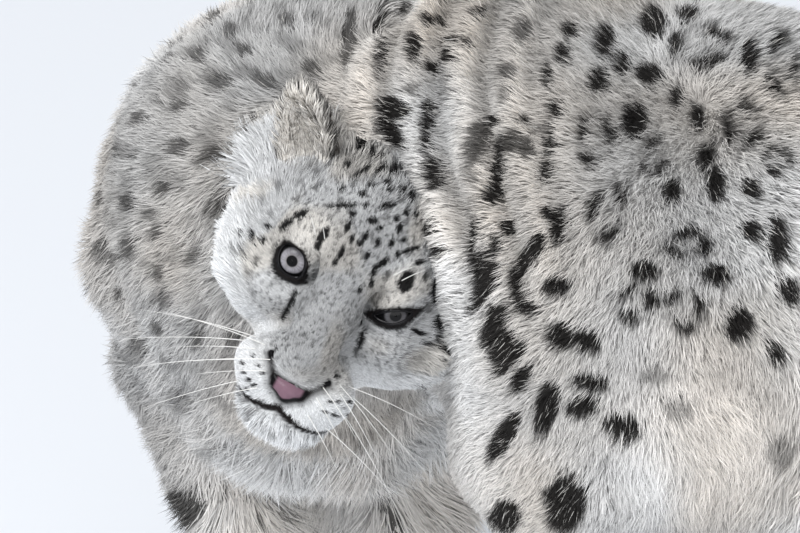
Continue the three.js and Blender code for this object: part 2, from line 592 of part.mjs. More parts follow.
// The trunk, parted where front and rear press together, and by planes across the spine.
const cutOff = (solid, [point, normal], keepBeyond) =>
  beyond(solid, point, keepBeyond ? normal : normal.clone().negate());
function bendBlock(side, back, shift) {
  const block = new THREE.BoxGeometry(500, 700, 500).translate(side * 250 + shift, back + 350, 250);
  return placed(block, new THREE.Matrix4().makeRotationZ(BEND.turn).setPosition(BEND.at));
}
function torsoSolids() {
  const box = boxOf(vec(-220, -150, LEG_TOP - 60), vec(660, 420, 700));
  const shell = (field, grow = 0) => skinOf((x, y, z) => field(x, y, z) - grow, box, STEP.trunk);
  const above = (solid) => cutOff(solid, cuts.legs, true);
  const leftEar = earBlock(EARS.ear_left);
  const front = joined(shell(frontField), locksOn(frontField, box, LOCKS.trunk, foreLie, foreClear));
  const fore = above(front).subtract(bendBlock(1, -350, -SEAT / 2)).subtract(clearHead);
  const pressing = shell(frontField, 2).subtract(bendBlock(1, -350, SEAT / 2));
  const neckBox = boxOf(skull.clone().addScalar(-190), skull.clone().addScalar(190));
  const napeOf = (grow) => skinOf((x, y, z) => headField(x, y, z) - grow, neckBox, STEP.neck);
  const nape = cutOff(napeOf(0), cuts.head, false);
  const back = joined(shell(rearField), locksOn(rearField, box, LOCKS.trunk, hindLie, hindClear));
  const hind = above(back).subtract(pressing).subtract(bendBlock(-1, 0, SEAT / 2)).subtract(napeOf(2));
  const rear = hind.subtract(clearHead).subtract(leftEar);
  const neck = cutOff(fore, cuts.neck, true).add(cutOff(nape, cuts.neck, true));
  return {
    neck: neck.subtract(earBlock(EARS.ear_right)).subtract(leftEar),
    chest: cutOff(fore, cuts.neck, false),
    flank: cutOff(rear, cuts.hips, false),
    hips: cutOff(cutOff(rear, cuts.hips, true), cuts.tail, false),
  };
}

// Legs and paws.
function legSolids(name) {
  const leg = legs[name];
  const { pad, toes } = pawParts(leg);
  const legBox = boxOf(...leg.places.slice(2)).expandByScalar(84);
  legBox.min.z = PAW_TOP - 40;
  legBox.max.z = LEG_TOP + 40;
  const pawBox = boxOf(leg.paw, leg.places.at(-1).clone().setZ(0)).expandByScalar(76);
  pawBox.min.z = -30;
  pawBox.max.z = PAW_TOP + 30;
  const ankle = [vec(0, 0, PAW_TOP), upright];
  const own = flesh(leg.limbs, BLEND.leg);
  const whole = name.startsWith("fore") ? frontField : rearField;
  const shin = skinOf((x, y, z) => Math.max(whole(x, y, z), own(x, y, z) - 24), legBox, STEP.leg);
  const foot = skinOf(flesh([pad, leg.limbs.at(-1)], BLEND.paw), pawBox, STEP.paw);
  const toed = toes.reduce((solid, toe) => solid.add(toe), foot);
  return {
    [name]: cutOff(cutOff(cutOff(shin, cuts.legs, false), ankle, true), leg.midline, true),
    [name.replace("leg", "paw")]: cutOff(toed, ankle, false).trimByPlane([0, 0, 1], 0),
  };
}

// The tail, in four lengths.
function tailSolids() {
  const box = boxOf(...TAIL_LINE.getPoints(40)).expandByScalar(90);
  const bare = skinOf(rearField, box, STEP.tail);
  const whole = joined(bare, locksOn(rearField, box, LOCKS.tail, tailLie, tailClear));
  return TAIL_CUTS.map((t, i) => {
    const rest = cutOff(whole, tailPlane(t), true);
    return i + 1 < TAIL_CUTS.length ? cutOff(rest, tailPlane(TAIL_CUTS[i + 1]), false) : rest;
  });
}

const nodes = [
  nodeOf("head", headSolid(), FUR),
  nodeOf("nose", noseSolid(0).subtract(nostrils[0]).subtract(nostrils[1]), NOSE_FINISH),
  ...Object.entries(eyes).map(([name, { eye }]) => nodeOf(name, eye, EYE_FINISH)),
  ...Object.entries(ears).map(([name, ear]) => nodeOf(name, ear, FUR)),
  ...Object.entries(torsoSolids()).map(([name, solid]) => nodeOf(name, solid, FUR, FINEST.coat)),
  ...Object.keys(legs).flatMap((name) =>
    Object.entries(legSolids(name)).map(([part, solid]) => nodeOf(part, solid, PALE_FUR, FINEST.coat)),
  ),
  ...tailSolids().map((solid, i) => nodeOf(`tail_${i + 1}`, solid, FUR, FINEST.coat)),
];

// The origin is the middle of the space it stands on.
const leopard = new THREE.Group();
leopard.name = "snow_leopard";
leopard.add(...nodes);
const bounds = new THREE.Box3().setFromObject(leopard);
const middle = bounds.getCenter(vec(0, 0, 0));
leopard.position.set(-middle.x, -middle.y, -bounds.min.z);
export default leopard;
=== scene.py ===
"""A life-size snow leopard in its winter coat: skin, fur, face, eyes, whiskers and claws, in a studio."""

from __future__ import annotations

import logging
import math
from dataclasses import astuple, dataclass, field
from enum import Enum
from typing import Callable, Iterable, Sequence

import bpy
import numpy as np
from mathutils import Matrix, Vector, bvhtree, kdtree

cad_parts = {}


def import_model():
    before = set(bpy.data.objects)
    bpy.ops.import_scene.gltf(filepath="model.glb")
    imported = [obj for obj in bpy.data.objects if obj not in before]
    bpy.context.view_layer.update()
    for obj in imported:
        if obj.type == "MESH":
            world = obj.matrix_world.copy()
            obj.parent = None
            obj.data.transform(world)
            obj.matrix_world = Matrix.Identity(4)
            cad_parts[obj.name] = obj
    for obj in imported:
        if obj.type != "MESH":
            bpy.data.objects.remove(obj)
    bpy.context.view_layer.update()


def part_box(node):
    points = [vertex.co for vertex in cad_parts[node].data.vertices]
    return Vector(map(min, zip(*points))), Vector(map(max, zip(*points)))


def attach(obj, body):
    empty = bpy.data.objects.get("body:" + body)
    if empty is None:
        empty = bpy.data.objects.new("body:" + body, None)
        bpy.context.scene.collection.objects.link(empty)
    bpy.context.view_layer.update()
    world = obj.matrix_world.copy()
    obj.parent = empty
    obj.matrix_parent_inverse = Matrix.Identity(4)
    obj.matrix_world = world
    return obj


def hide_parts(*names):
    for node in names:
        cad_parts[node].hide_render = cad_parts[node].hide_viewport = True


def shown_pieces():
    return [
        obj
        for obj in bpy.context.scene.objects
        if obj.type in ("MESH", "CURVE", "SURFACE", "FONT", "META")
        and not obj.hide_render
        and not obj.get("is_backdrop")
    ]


LOG = logging.getLogger("snow_leopard")
MM = 0.001
SEED = 20
# The skin under the coat is drawn darker than the hair: painted shade under the hair.
SKIN_PAINTED_SHADE = 0.6
HASH_STEPS = (73856093, 19349663, 83492791)
HASH_SEED = 15485863
HASH_MIX = 1274126177
Array = np.ndarray
Field = Callable[[Array], Array]
Socket = bpy.types.NodeSocket
Locks = tuple[tuple[float, float], ...]


def smooth(low: float, high: float, value: Array) -> Array:
    """A soft step from 0 at low to 1 at high."""
    t = np.clip((value - low) / (high - low), 0.0, 1.0)
    return t * t * (3 - 2 * t)


def unit(vectors: Array) -> Array:
    """The vectors at length one."""
    return vectors / np.maximum(np.linalg.norm(vectors, axis=-1, keepdims=True), 1e-9)


def flattened(ways: Array, normals: Array) -> Array:
    """Directions turned into the surface that has these normals, at length one."""
    return unit(ways - (ways * normals).sum(1, keepdims=True) * normals)


def mix(a: Array, b: Array, share: Array) -> Array:
    """From a at share 0 to b at share 1, a row at a time; either one may be a single row for all."""
    return a + (b - a) * share[:, None]


def grain(points: Array, size: float, seed: int) -> Array:
    """Soft value noise from 0 to 1.

    Args:
        points: places in millimetres.
        size: the width of one patch.
        seed: picks the pattern.

    Returns:
        One number a point.
    """
    scaled = points / size
    base = np.floor(scaled).astype(np.int64)
    t = scaled - base
    t = t * t * (3 - 2 * t)
    total = np.zeros(len(points))
    for corner in np.ndindex(2, 2, 2):
        cell = base + np.array(corner)
        spread = cell * np.array(HASH_STEPS)
        mixed = spread[:, 0] ^ spread[:, 1] ^ spread[:, 2] ^ (seed * HASH_SEED)
        mixed = ((mixed ^ (mixed >> 13)) * HASH_MIX) & 0xFFFFFFFF
        value = ((mixed ^ (mixed >> 16)) & 0xFFFF) / 65535.0
        total += value * np.prod(np.where(np.array(corner), t, 1 - t), axis=1)
    return total


def linear(colour: Array | Sequence[float]) -> Array:
    """Screen values from 0 to 255 as the linear colour that a surface reflects."""
    share = np.clip(np.asarray(colour, dtype=float) / 255.0, 0, 1)
    return np.where(share <= 0.04045, share / 12.92, ((share + 0.055) / 1.055) ** 2.4)


@dataclass(frozen=True)
class HeadPlace:
    """Where the head is and how it is turned: degrees, and millimetres from the middle of the skull."""

    yaw: float = -11.7
    nod: float = 12.4
    roll: float = 23.2
    eyes_high: float = 545.0
    pupil: tuple[float, float] = (66.0, 12.0)
    eye: tuple[float, float, float] = (34.0, 50.0, 12.0)

    def axes(self) -> Array:
        """The head's left, forward and up, one a row."""
        yaw, nod, roll = (math.radians(v) for v in (self.yaw, self.nod, self.roll))
        forward = np.array([math.sin(yaw) * math.cos(nod), -math.cos(yaw) * math.cos(nod), math.sin(nod)])
        level_left = np.array([math.cos(yaw), math.sin(yaw), 0.0])
        level_up = np.cross(forward, level_left)
        left = level_left * math.cos(roll) - level_up * math.sin(roll)
        up = level_up * math.cos(roll) + level_left * math.sin(roll)
        return np.array([left, forward, up])

    def skull(self) -> Array:
        """The middle of the skull, measured from the point on the floor below the eyes."""
        axes = self.axes()
        return np.array([0, 0, self.eyes_high]) - self.pupil[0] * axes[1] - self.pupil[1] * axes[2]

    def world(self, local: Array) -> Array:
        """Places given to the head's left, forward and up, in the body's own millimetres."""
        return self.skull() + np.asarray(local, dtype=float) @ self.axes()

    def local(self, points: Array) -> Array:
        """The way back from world()."""
        return (points - self.skull()) @ self.axes().T

    def shift(self) -> Array:
        """From the body's own millimetres to the frame's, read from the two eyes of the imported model."""
        corners = np.array([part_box("eye_right"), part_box("eye_left")], dtype=float).reshape(4, 3) / MM
        seat = np.array([0, self.eye[1], self.eye[2]])
        return corners.mean(axis=0) - self.world(seat)


HEAD = HeadPlace()


@dataclass(frozen=True)
class PhotoView:
    """The photograph's view: a long lens that looks down on the face, in a picture of 800 by 533 pixels."""

    elevation: float = 35.0
    distance: float = 3500.0
    scale: float = 1.56
    eyes: tuple[float, float] = (341.5, 290.0)
    picture: tuple[float, float] = (800.0, 533.0)
    sensor: float = 36.0

    def basis(self) -> Array:
        """Right, up and the way it looks, one a row."""
        tilt = math.radians(self.elevation)
        up = [0, math.sin(tilt), math.cos(tilt)]
        return np.array([[1, 0, 0], up, [0, math.cos(tilt), -math.sin(tilt)]])

    def centre(self) -> Array:
        """The point in the middle of the picture, level with the eyes in depth."""
        right, up, _ = self.basis()
        across = (self.picture[0] / 2 - self.eyes[0]) / self.scale
        above = (self.eyes[1] - self.picture[1] / 2) / self.scale
        return np.array([0, 0, HEAD.eyes_high]) + across * right + above * up

    def pixels(self, points: Array) -> Array:
        """Where points show in the picture, and how far they are from the lens.

        Args:
            points: places in the body's own millimetres.

        Returns:
            Across, down and depth, one row a point.
        """
        right, up, look = self.basis()
        off = points - (self.centre() - look * self.distance)
        depth = off @ look
        shrink = self.scale * self.distance / depth
        across = self.picture[0] / 2 + (off @ right) * shrink
        down = self.picture[1] / 2 - (off @ up) * shrink
        return np.stack([across, down, depth], axis=1)

    def facing(self, normals: Array) -> Array:
        """How squarely a surface faces the lens, from -1 to 1."""
        return -(normals @ self.basis()[2])

    def build(self, shift: Array) -> bpy.types.Object:
        """Sets the scene's camera."""
        right, up, look = self.basis()
        data = bpy.data.cameras.new("photo_view")
        data.sensor_width = self.sensor
        data.lens = self.sensor * self.scale * self.distance / self.picture[0]
        data.clip_end = 50
        camera = bpy.data.objects.new("photo_view", data)
        turn = Matrix([list(row) for row in np.array([right, up, -look]).T]).to_4x4()
        place = (self.centre() - look * self.distance + shift) * MM
        camera.matrix_world = Matrix.Translation(Vector(place)) @ turn
        bpy.context.scene.collection.objects.link(camera)
        bpy.context.scene.camera = camera
        return camera


VIEW = PhotoView()


@dataclass(frozen=True)
class Egg:
    """An egg in the head's own directions: its middle, its half-lengths and how blunt it is."""

    middle: tuple[float, float, float]
    half: tuple[float, float, float]
    power: float = 2.0

    def distance(self, points: Array) -> Array:
        """Negative inside, zero on the surface, positive outside."""
        half = np.array(self.half)
        shares = np.abs(points - np.array(self.middle)) / half
        size = np.maximum((shares**self.power).sum(axis=1) ** (1 / self.power), 1e-6)
        slope = np.sqrt((((shares / size[:, None]) ** (self.power - 1) / half) ** 2).sum(axis=1))
        return (size - 1) / np.maximum(slope, 1e-6)


@dataclass(frozen=True)
class Limb:
    """A round limb that tapers from one end to the other."""

    start: tuple[float, float, float]
    end: tuple[float, float, float]
    radii: tuple[float, float]

    def distance(self, points: Array) -> Array:
        """Negative inside, zero on the surface, positive outside."""
        start, run = np.array(self.start), np.array(self.end) - np.array(self.start)
        along = np.clip((points - start) @ run / (run @ run), 0, 1)
        off = np.linalg.norm(points - start - along[:, None] * run, axis=1)
        return off - self.radii[0] - along * (self.radii[1] - self.radii[0])


def melt(a: Array, b: Array, softness: float) -> Array:
    """Two distances run together over a fillet."""
    meet = np.maximum(softness - np.abs(a - b), 0) / softness
    return np.minimum(a, b) - meet * meet * softness / 4


def carve(solid: Array, tool: Array, softness: float) -> Array:
    """A distance with another form taken out of it, over a soft edge."""
    return -melt(-solid, tool, softness)


def slope_of(form: Field, points: Array, probe: float = 0.5) -> Array:
    """The direction in which a distance grows fastest, at each point."""
    steps = np.eye(3) * probe
    return unit(np.stack([form(points + s) - form(points - s) for s in steps], axis=1))


def settle(form: Field, points: Array, turns: int = 8) -> Array:
    """Points moved on to the surface of a form."""
    for _ in range(turns):
        points = points - slope_of(form, points) * form(points)[:, None]
    return points


@dataclass
class Shell:
    """A surface: its corners and its faces, with room for what grows on it."""

    points: Array
    faces: Array
    normals: Array = field(default_factory=lambda: np.zeros((0, 3)))

    def triangles(self) -> Array:
        """The faces, each quad as two triangles."""
        if self.faces.shape[1] == 3:
            return self.faces
        return np.concatenate([self.faces[:, [0, 1, 2]], self.faces[:, [0, 2, 3]]])

    def find_normals(self) -> None:
        """Fills the normal of each corner from the faces around it."""
        tri = self.triangles()
        a, b, c = (self.points[tri[:, i]] for i in range(3))
        face = np.cross(b - a, c - a)
        total = np.zeros_like(self.points)
        for i in range(3):
            for axis in range(3):
                total[:, axis] += np.bincount(tri[:, i], face[:, axis], len(self.points))
        self.normals = unit(total)

    def edges(self) -> Array:
        """Every edge once, as two corners."""
        ring = self.faces.shape[1]
        pairs = np.concatenate([self.faces[:, [i, (i + 1) % ring]] for i in range(ring)])
        return np.unique(np.sort(pairs, axis=1), axis=0)

    def even(self, values: Array, turns: int, pace: Array | float = 0.5) -> Array:
        """Values at the corners, evened out with their neighbours.

        Args:
            values: one row a corner.
            turns: how many times each value moves towards its neighbours.
            pace: how far it moves each time, one number or one a corner.

        Returns:
            The evened values.
        """
        edges, count = self.edges(), len(self.points)
        around = np.bincount(edges.ravel(), minlength=count)[:, None]
        out = values.astype(float).reshape(count, -1)
        step = np.broadcast_to(np.asarray(pace, dtype=float).reshape(-1, 1), (count, 1))
        for _ in range(turns):
            total = np.zeros_like(out)
            for axis in range(out.shape[1]):
                total[:, axis] += np.bincount(edges[:, 0], out[edges[:, 1], axis], count)
                total[:, axis] += np.bincount(edges[:, 1], out[edges[:, 0], axis], count)
            out = out + (total / np.maximum(around, 1) - out) * step
        return out.reshape(values.shape)


def net_of(form: Field, low: Sequence[float], high: Sequence[float], step: float) -> Shell:
    """A closed surface where a form's distance is zero, as a net of quads.

    Args:
        form: the distance.
        low: the lowest corner of the box that holds the surface.
        high: the highest corner.
        step: the size of one quad.

    Returns:
        The surface, with its normals.
    """
    axes = [np.arange(a, b + step, step) for a, b in zip(low, high)]
    grid = np.stack(np.meshgrid(*axes, indexing="ij"), axis=-1)
    size = grid.shape[:3]
    value = form(grid.reshape(-1, 3)).reshape(size)
    for axis in range(3):
        for end in (0, -1):
            edge = np.take(value, end, axis=axis)
            index = [slice(None)] * 3
            index[axis] = end
            value[tuple(index)] = np.maximum(edge, step / 3)
    cells = tuple(n - 1 for n in size)
    total, count = np.zeros((*cells, 3)), np.zeros(cells)
    crossing: list[Array] = []
    for axis in range(3):
        first = np.take(value, range(size[axis] - 1), axis=axis)
        second = np.take(value, range(1, size[axis]), axis=axis)
        cross = (first < 0) != (second < 0)
        crossing.append(cross)
        share = np.where(cross, first / np.where(cross, first - second, 1), 0)
        others = [i for i in range(3) if i != axis]
        for a in (0, 1):
            for b in (0, 1):
                index = [slice(None)] * 3
                index[others[0]] = slice(a, a + cells[others[0]])
                index[others[1]] = slice(b, b + cells[others[1]])
                hit = cross[tuple(index)]
                total[..., axis] += np.where(hit, share[tuple(index)], 0)
                total[..., others[0]] += np.where(hit, a, 0)
                total[..., others[1]] += np.where(hit, b, 0)
                count += hit
    used = count > 0
    number = np.full(cells, -1, dtype=np.int64)
    number[used] = np.arange(int(used.sum()))
    corner = np.stack(np.nonzero(used), axis=1)
    points = (total[used] / count[used][:, None] + corner) * step + np.array([a[0] for a in axes])
    quads: list[Array] = []
    for axis in range(3):
        others = [(axis + 1) % 3, (axis + 2) % 3]
        place = np.stack(np.nonzero(crossing[axis]), axis=1)
        for other in others:
            place = place[(place[:, other] > 0) & (place[:, other] < size[other] - 1)]
        ring = []
        for a, b in ((1, 1), (0, 1), (0, 0), (1, 0)):
            cell = place.copy()
            cell[:, others[0]] -= a
            cell[:, others[1]] -= b
            ring.append(number[tuple(cell.T)])
        quad = np.stack(ring, axis=1)
        starts_inside = value[tuple(place.T)] < 0
        quads.append(np.where(starts_inside[:, None], quad, quad[:, ::-1]))
    shell = Shell(points, np.concatenate(quads))
    shell.find_normals()
    return shell


class Part(Enum):
    """Each packed flesh node, with its block on the unwrap."""

    HEAD = "head"
    EAR_RIGHT = "ear_right"
    EAR_LEFT = "ear_left"
    NECK = "neck"
    CHEST = "chest"
    FLANK = "flank"
    HIPS = "hips"
    FORELEG_LEFT = "foreleg_left"
    FOREPAW_LEFT = "forepaw_left"
    FORELEG_RIGHT = "foreleg_right"
    FOREPAW_RIGHT = "forepaw_right"
    HINDLEG_LEFT = "hindleg_left"
    HINDPAW_LEFT = "hindpaw_left"
    HINDLEG_RIGHT = "hindleg_right"
    HINDPAW_RIGHT = "hindpaw_right"
    TAIL_1 = "tail_1"
    TAIL_2 = "tail_2"
    TAIL_3 = "tail_3"
    TAIL_4 = "tail_4"

    @property
    def kind(self) -> str:
        """The first word of the name, such as flank or hindpaw."""
        return self.value.split("_")[0]


PARTS = list(Part)
KINDS = np.array([p.kind for p in PARTS])
BODY_PARTS = [p for p in PARTS if p not in (Part.EAR_RIGHT, Part.EAR_LEFT)]


@dataclass(frozen=True)
class Growth:
    """How the coat grows on one part: millimetres, degrees, strands a square centimetre and brightness."""

    length: float
    depth: float
    lift: float
    width: float
    crowd: float
    shade: float


GROWTH = {
    "head": Growth(30, 30, 30, 1.2, 0.0, 222),
    "neck": Growth(20, 9, 36, 0.85, 13.0, 204),
    "chest": Growth(36, 17, 30, 0.95, 9.0, 224),
    "flank": Growth(15, 7.5, 54, 0.7, 16.0, 222),
    "hips": Growth(28, 13, 38, 1.4, 6.0, 220),
    "foreleg": Growth(20, 8, 26, 1.4, 9.0, 220),
    "forepaw": Growth(11, 4, 22, 1.2, 10.0, 226),
    "hindleg": Growth(22, 8, 28, 1.4, 9.0, 222),
    "hindpaw": Growth(11, 4, 22, 1.2, 10.0, 226),
    "tail": Growth(36, 15, 36, 1.6, 8.0, 216),
}


def growth_of(part: Part) -> Growth:
    """The growth of a part by its kind; an ear grows as the head does."""
    return GROWTH["head" if part.kind == "ear" else part.kind]


def is_any(part: Array, *kinds: str) -> Array:
    """True for each part number whose part is of one of the kinds."""
    return np.isin(KINDS[part], kinds)


@dataclass(frozen=True)
class Mark:
    """A dark mark as it shows in the picture: its middle, half-sizes, turn, and if it is a ring."""

    x: float
    y: float
    wide: float
    tall: float
    turn: float = 0.0
    dark: float = 1.0
    ring: bool = False


def marks(*rows: Sequence[float]) -> tuple[Mark, ...]:
    """Marks from rows of middle across and down, half-width, half-height, turn, darkness and ring."""
    return tuple(Mark(*row) for row in rows)


FLANK_MARKS = marks(
    (482, 287, 9, 27, 20), (493, 325, 10, 24, 20), (506, 357, 10, 20, 35), (513, 285, 7, 16, -12),
    (523, 308, 11, 9, 30), (553, 290, 14, 10), (560, 338, 16, 13, 20), (586, 345, 13, 12),
    (545, 410, 11, 26, 10), (502, 438, 9, 26, 30), (565, 506, 20, 26), (504, 518, 15, 15),
    (590, 385, 19, 8, 10), (581, 410, 14, 9), (622, 430, 17, 12, 15), (680, 412, 14, 10, 0, 0.5),
    (654, 377, 14, 7, 0, 0.5), (635, 305, 20, 19, 0, 1, True), (645, 273, 14, 10),
    (686, 312, 20, 22, 0, 1, True), (716, 277, 14, 11), (740, 327, 14, 17), (778, 355, 8, 10),
    (790, 292, 11, 12), (782, 452, 12, 17, 0, 0.5), (592, 137, 17, 25, 10, 1, True),
    (606, 212, 17, 30, 10, 1, True), (652, 157, 13, 20, 0, 1, True), (672, 192, 8, 12), (704, 155, 10, 14),
    (717, 185, 8, 18), (754, 190, 10, 10), (780, 160, 15, 15, 0, 1, True), (745, 122, 20, 25, 0, 1, True),
    (697, 110, 8, 15), (632, 117, 13, 16), (675, 92, 6, 12), (646, 72, 13, 12),
    (700, 45, 34, 20, 0, 1, True), (752, 55, 8, 19), (785, 65, 16, 32, 0, 1, True), (603, 40, 10, 16),
    (596, 78, 10, 12, 20), (620, 62, 8, 10), (652, 20, 12, 14), (687, 12, 12, 7), (755, 232, 10, 11),
    (780, 243, 11, 22), (690, 245, 25, 14, 0, 1, True), (383, 12, 4, 14, 5), (378, 52, 4, 20, 8),
    (348, 40, 6, 30, 8, 0.8), (411, 47, 7, 15), (430, 17, 11, 5, 5), (405, 9, 7, 5, -30), (430, 66, 8, 5),
    (445, 55, 5, 7), (448, 38, 9, 3, -8), (466, 40, 6, 4), (478, 9, 11, 4, -15), (392, 108, 16, 10, 20),
    (388, 132, 11, 18, -35), (410, 88, 8, 6, -20, 0.7), (424, 125, 5, 28, 3), (430, 172, 10, 17, -15),
    (442, 88, 4, 18, 5, 0.6), (474, 142, 10, 22, 10, 0.85), (492, 120, 8, 5), (496, 168, 7, 30, 5),
    (490, 193, 10, 9), (505, 70, 8, 9, 0, 0.8), (501, 94, 4, 11, 0, 0.7), (520, 118, 10, 4),
    (520, 28, 8, 12, 10, 0.8), (507, 140, 10, 13, 20, 0.9), (524, 146, 7, 12, 0, 0.85), (545, 74, 5, 13),
    (552, 108, 6, 10), (547, 138, 5, 18), (543, 170, 5, 11), (468, 172, 6, 12, 0, 0.6), (506, 228, 7, 9),
    (492, 244, 5, 12), (471, 242, 5, 26, 6), (426, 228, 5, 6), (433, 252, 7, 4, 20), (556, 226, 7, 20, 5),
    (548, 214, 9, 6, 20), (534, 248, 9, 12, 30), (523, 266, 7, 12, 20), (568, 28, 8, 8), (560, 52, 7, 10),
    (470, 205, 4, 12, 5, 0.6), (476, 268, 6, 18, 15), (500, 345, 9, 18, 25), (520, 380, 8, 16, 35),
    (536, 128, 8, 5, -20, 0.6),
)
FRONT_MARKS = marks(
    (120, 150, 12, 9, 0, 0.4), (175, 90, 13, 10, 20, 0.4), (200, 160, 9, 8, 0, 0.4),
    (150, 215, 12, 10, 0, 0.45), (110, 260, 11, 10, 0, 0.5), (240, 70, 13, 9, 0, 0.4),
    (290, 40, 14, 9, 0, 0.4), (160, 300, 12, 10, 20, 0.5), (130, 355, 13, 11, 0, 0.5),
    (195, 250, 9, 8, 0, 0.35), (180, 400, 12, 14, 0, 0.5), (175, 512, 24, 22, 0, 0.9),
    (225, 515, 9, 8, 0, 0.8), (258, 525, 9, 7, 0, 0.8), (290, 515, 8, 8, 0, 0.7), (205, 455, 10, 9, 0, 0.5),
)
FACE_MARKS = marks(
    (300, 214, 9, 4, -28), (286, 224, 9, 4, -38), (323, 235, 4.5, 10, 35), (318, 245, 4, 5, 20),
    (407, 281, 8, 13, 20), (342, 205, 16, 2.8, -3), (353, 213, 4, 4), (347, 165, 5, 3.4),
    (357, 174, 6, 2.6, -35), (367, 168, 5, 2.6, -35), (342, 188, 5, 2.2, -15), (363, 193, 5, 3, -10),
    (371, 185, 5, 2.6, -15), (383, 168, 5, 4, -30), (382, 155, 4, 3.4, 20), (361, 140, 6, 9, 15),
    (398, 168, 5, 5, 30), (387, 182, 5, 3.4, -30), (391, 172, 4, 4), (388, 205, 11, 3, -15),
    (373, 220, 7, 4), (348, 226, 3, 7, 25), (341, 252, 3, 9, 25), (335, 262, 3, 4), (352, 238, 2.4, 5, 20),
    (400, 227, 3.4, 6, 15), (407, 212, 3.4, 5), (411, 249, 11, 2.8, -20), (427, 228, 4, 8),
    (360, 243, 4, 4.5, 30), (366, 236, 3, 6, 30), (382, 263, 9, 3.4, -35), (374, 271, 3, 6, 15),
    (372, 282, 3, 5), (437, 291, 6, 15, 5), (440, 323, 6, 9), (418, 332, 8, 2.8, 25), (437, 337, 4, 6),
    (360, 290, 2.6, 3), (428, 344, 4, 3), (428, 390, 7, 2.4, 10, 0.7), (449, 350, 6, 4, 60),
    (252, 237, 3.4, 6, 10), (263, 240, 4, 3.4), (268, 226, 3.4, 3), (255, 261, 3.4, 5, 20, 0.8),
    (242, 252, 3, 4, 0, 0.8), (240, 232, 3, 5, 15, 0.8), (232, 246, 3, 5, 10, 0.6),
    (247, 272, 2.6, 6, -20, 0.5), (252, 292, 2.6, 6, -15, 0.4), (290, 301, 3.4, 13, 27),
    (284, 314, 3.2, 7, 30), (362, 340, 3.6, 12, 15), (357, 352, 2.4, 7, 10, 0.8), (278, 185, 4, 4, 0, 0.5),
    (300, 182, 5, 3, -20, 0.5), (262, 200, 4, 4, 0, 0.5), (320, 183, 6, 2.4, -20, 0.6),
    (310, 165, 5, 3, -10, 0.5), (296, 198, 6, 2.2, -20, 0.6), (270, 213, 4, 2.4, -20, 0.5),
    (327, 166, 5, 2.4, -25, 0.6), (392, 243, 3, 5, 20), (398, 254, 3, 5, 20), (390, 190, 5, 3, -20),
    (402, 190, 4, 4), (412, 196, 4, 5), (397, 218, 3, 4), (416, 214, 3, 5), (378, 242, 3, 5, 20),
    (380, 228, 4, 2.6, -20), (366, 205, 4, 2.6, -15), (372, 150, 3, 6, 20), (377, 172, 4, 2.6, -30),
    (350, 150, 3, 5, 20, 0.7), (404, 240, 4, 2.6, -20), (368, 255, 2.6, 5, 20), (388, 274, 3, 5, 15, 0.8),
    (352, 266, 2, 4, 15, 0.6), (420, 262, 5, 3, -10), (428, 308, 4, 6, 10, 0.7), (426, 276, 3, 5, 10, 0.8),
    (444, 262, 4, 8), (252, 355, 2.6, 2.2), (258, 365, 2.6, 2.2), (262, 373, 2.6, 2.2),
    (243, 372, 2.6, 2.4), (248, 380, 3, 2.4), (253, 385, 3.2, 2.4), (242, 363, 2.4, 2.2),
    (246, 389, 2.4, 2.2), (276, 347, 2, 2.6, 0, 0.9), (337, 376, 3, 2.4), (338, 402, 2.8, 2.2),
    (331, 402, 2.4, 2.2), (350, 402, 3, 2), (360, 400, 3.4, 2), (326, 412, 3, 1.8), (336, 416, 5, 1.8, 12),
    (350, 415, 5, 1.8), (344, 408, 2.4, 1.6, 0, 0.8), (365, 408, 2.6, 1.6, 0, 0.7),
    (258, 402, 5, 2.4, 20, 0.9), (268, 407, 5, 2.4, 15, 0.9), (279, 409, 4, 2.4, 5, 0.8),
)


def photo_dark(points: Array, marks: Iterable[Mark], ragged: float = 0.55, size: float = 5.0,
               grow: float = 1.0) -> Array:
    """How dark the marks of one list make each place, from 0 to 1.

    Args:
        points: places where the coat shows, in the body's own millimetres.
        marks: the list.
        ragged: how uneven their edges are.
        size: the grain of that unevenness, in millimetres.
        grow: how much larger every mark is drawn.

    Returns:
        One number a place.
    """
    seen = VIEW.pixels(points)
    rough = grain(points, size, 3) * 0.6 + grain(points, size * 2.4, 4) * 0.5 - 0.55
    dark = np.zeros(len(points))
    for mark in marks:
        dx, dy = seen[:, 0] - mark.x, seen[:, 1] - mark.y
        near = np.abs(dx) + np.abs(dy) < 2.6 * (mark.wide + mark.tall)
        turn = math.radians(mark.turn)
        u = (dx[near] * math.cos(turn) + dy[near] * math.sin(turn)) / mark.wide
        v = (-dx[near] * math.sin(turn) + dy[near] * math.cos(turn)) / mark.tall
        reach = np.hypot(u, v) / grow + rough[near] * ragged
        here = 1 - smooth(0.86, 1.14, reach)
        if mark.ring:
            lobes = 0.5 + 0.5 * np.cos(3 * np.arctan2(v, u) + mark.x) + rough[near]
            here = here * (0.2 + 0.8 * smooth(0.4, 0.62, reach)) * (0.3 + 0.7 * smooth(0.1, 0.45, lobes))
        dark[near] = np.maximum(dark[near], here * mark.dark)
    return dark


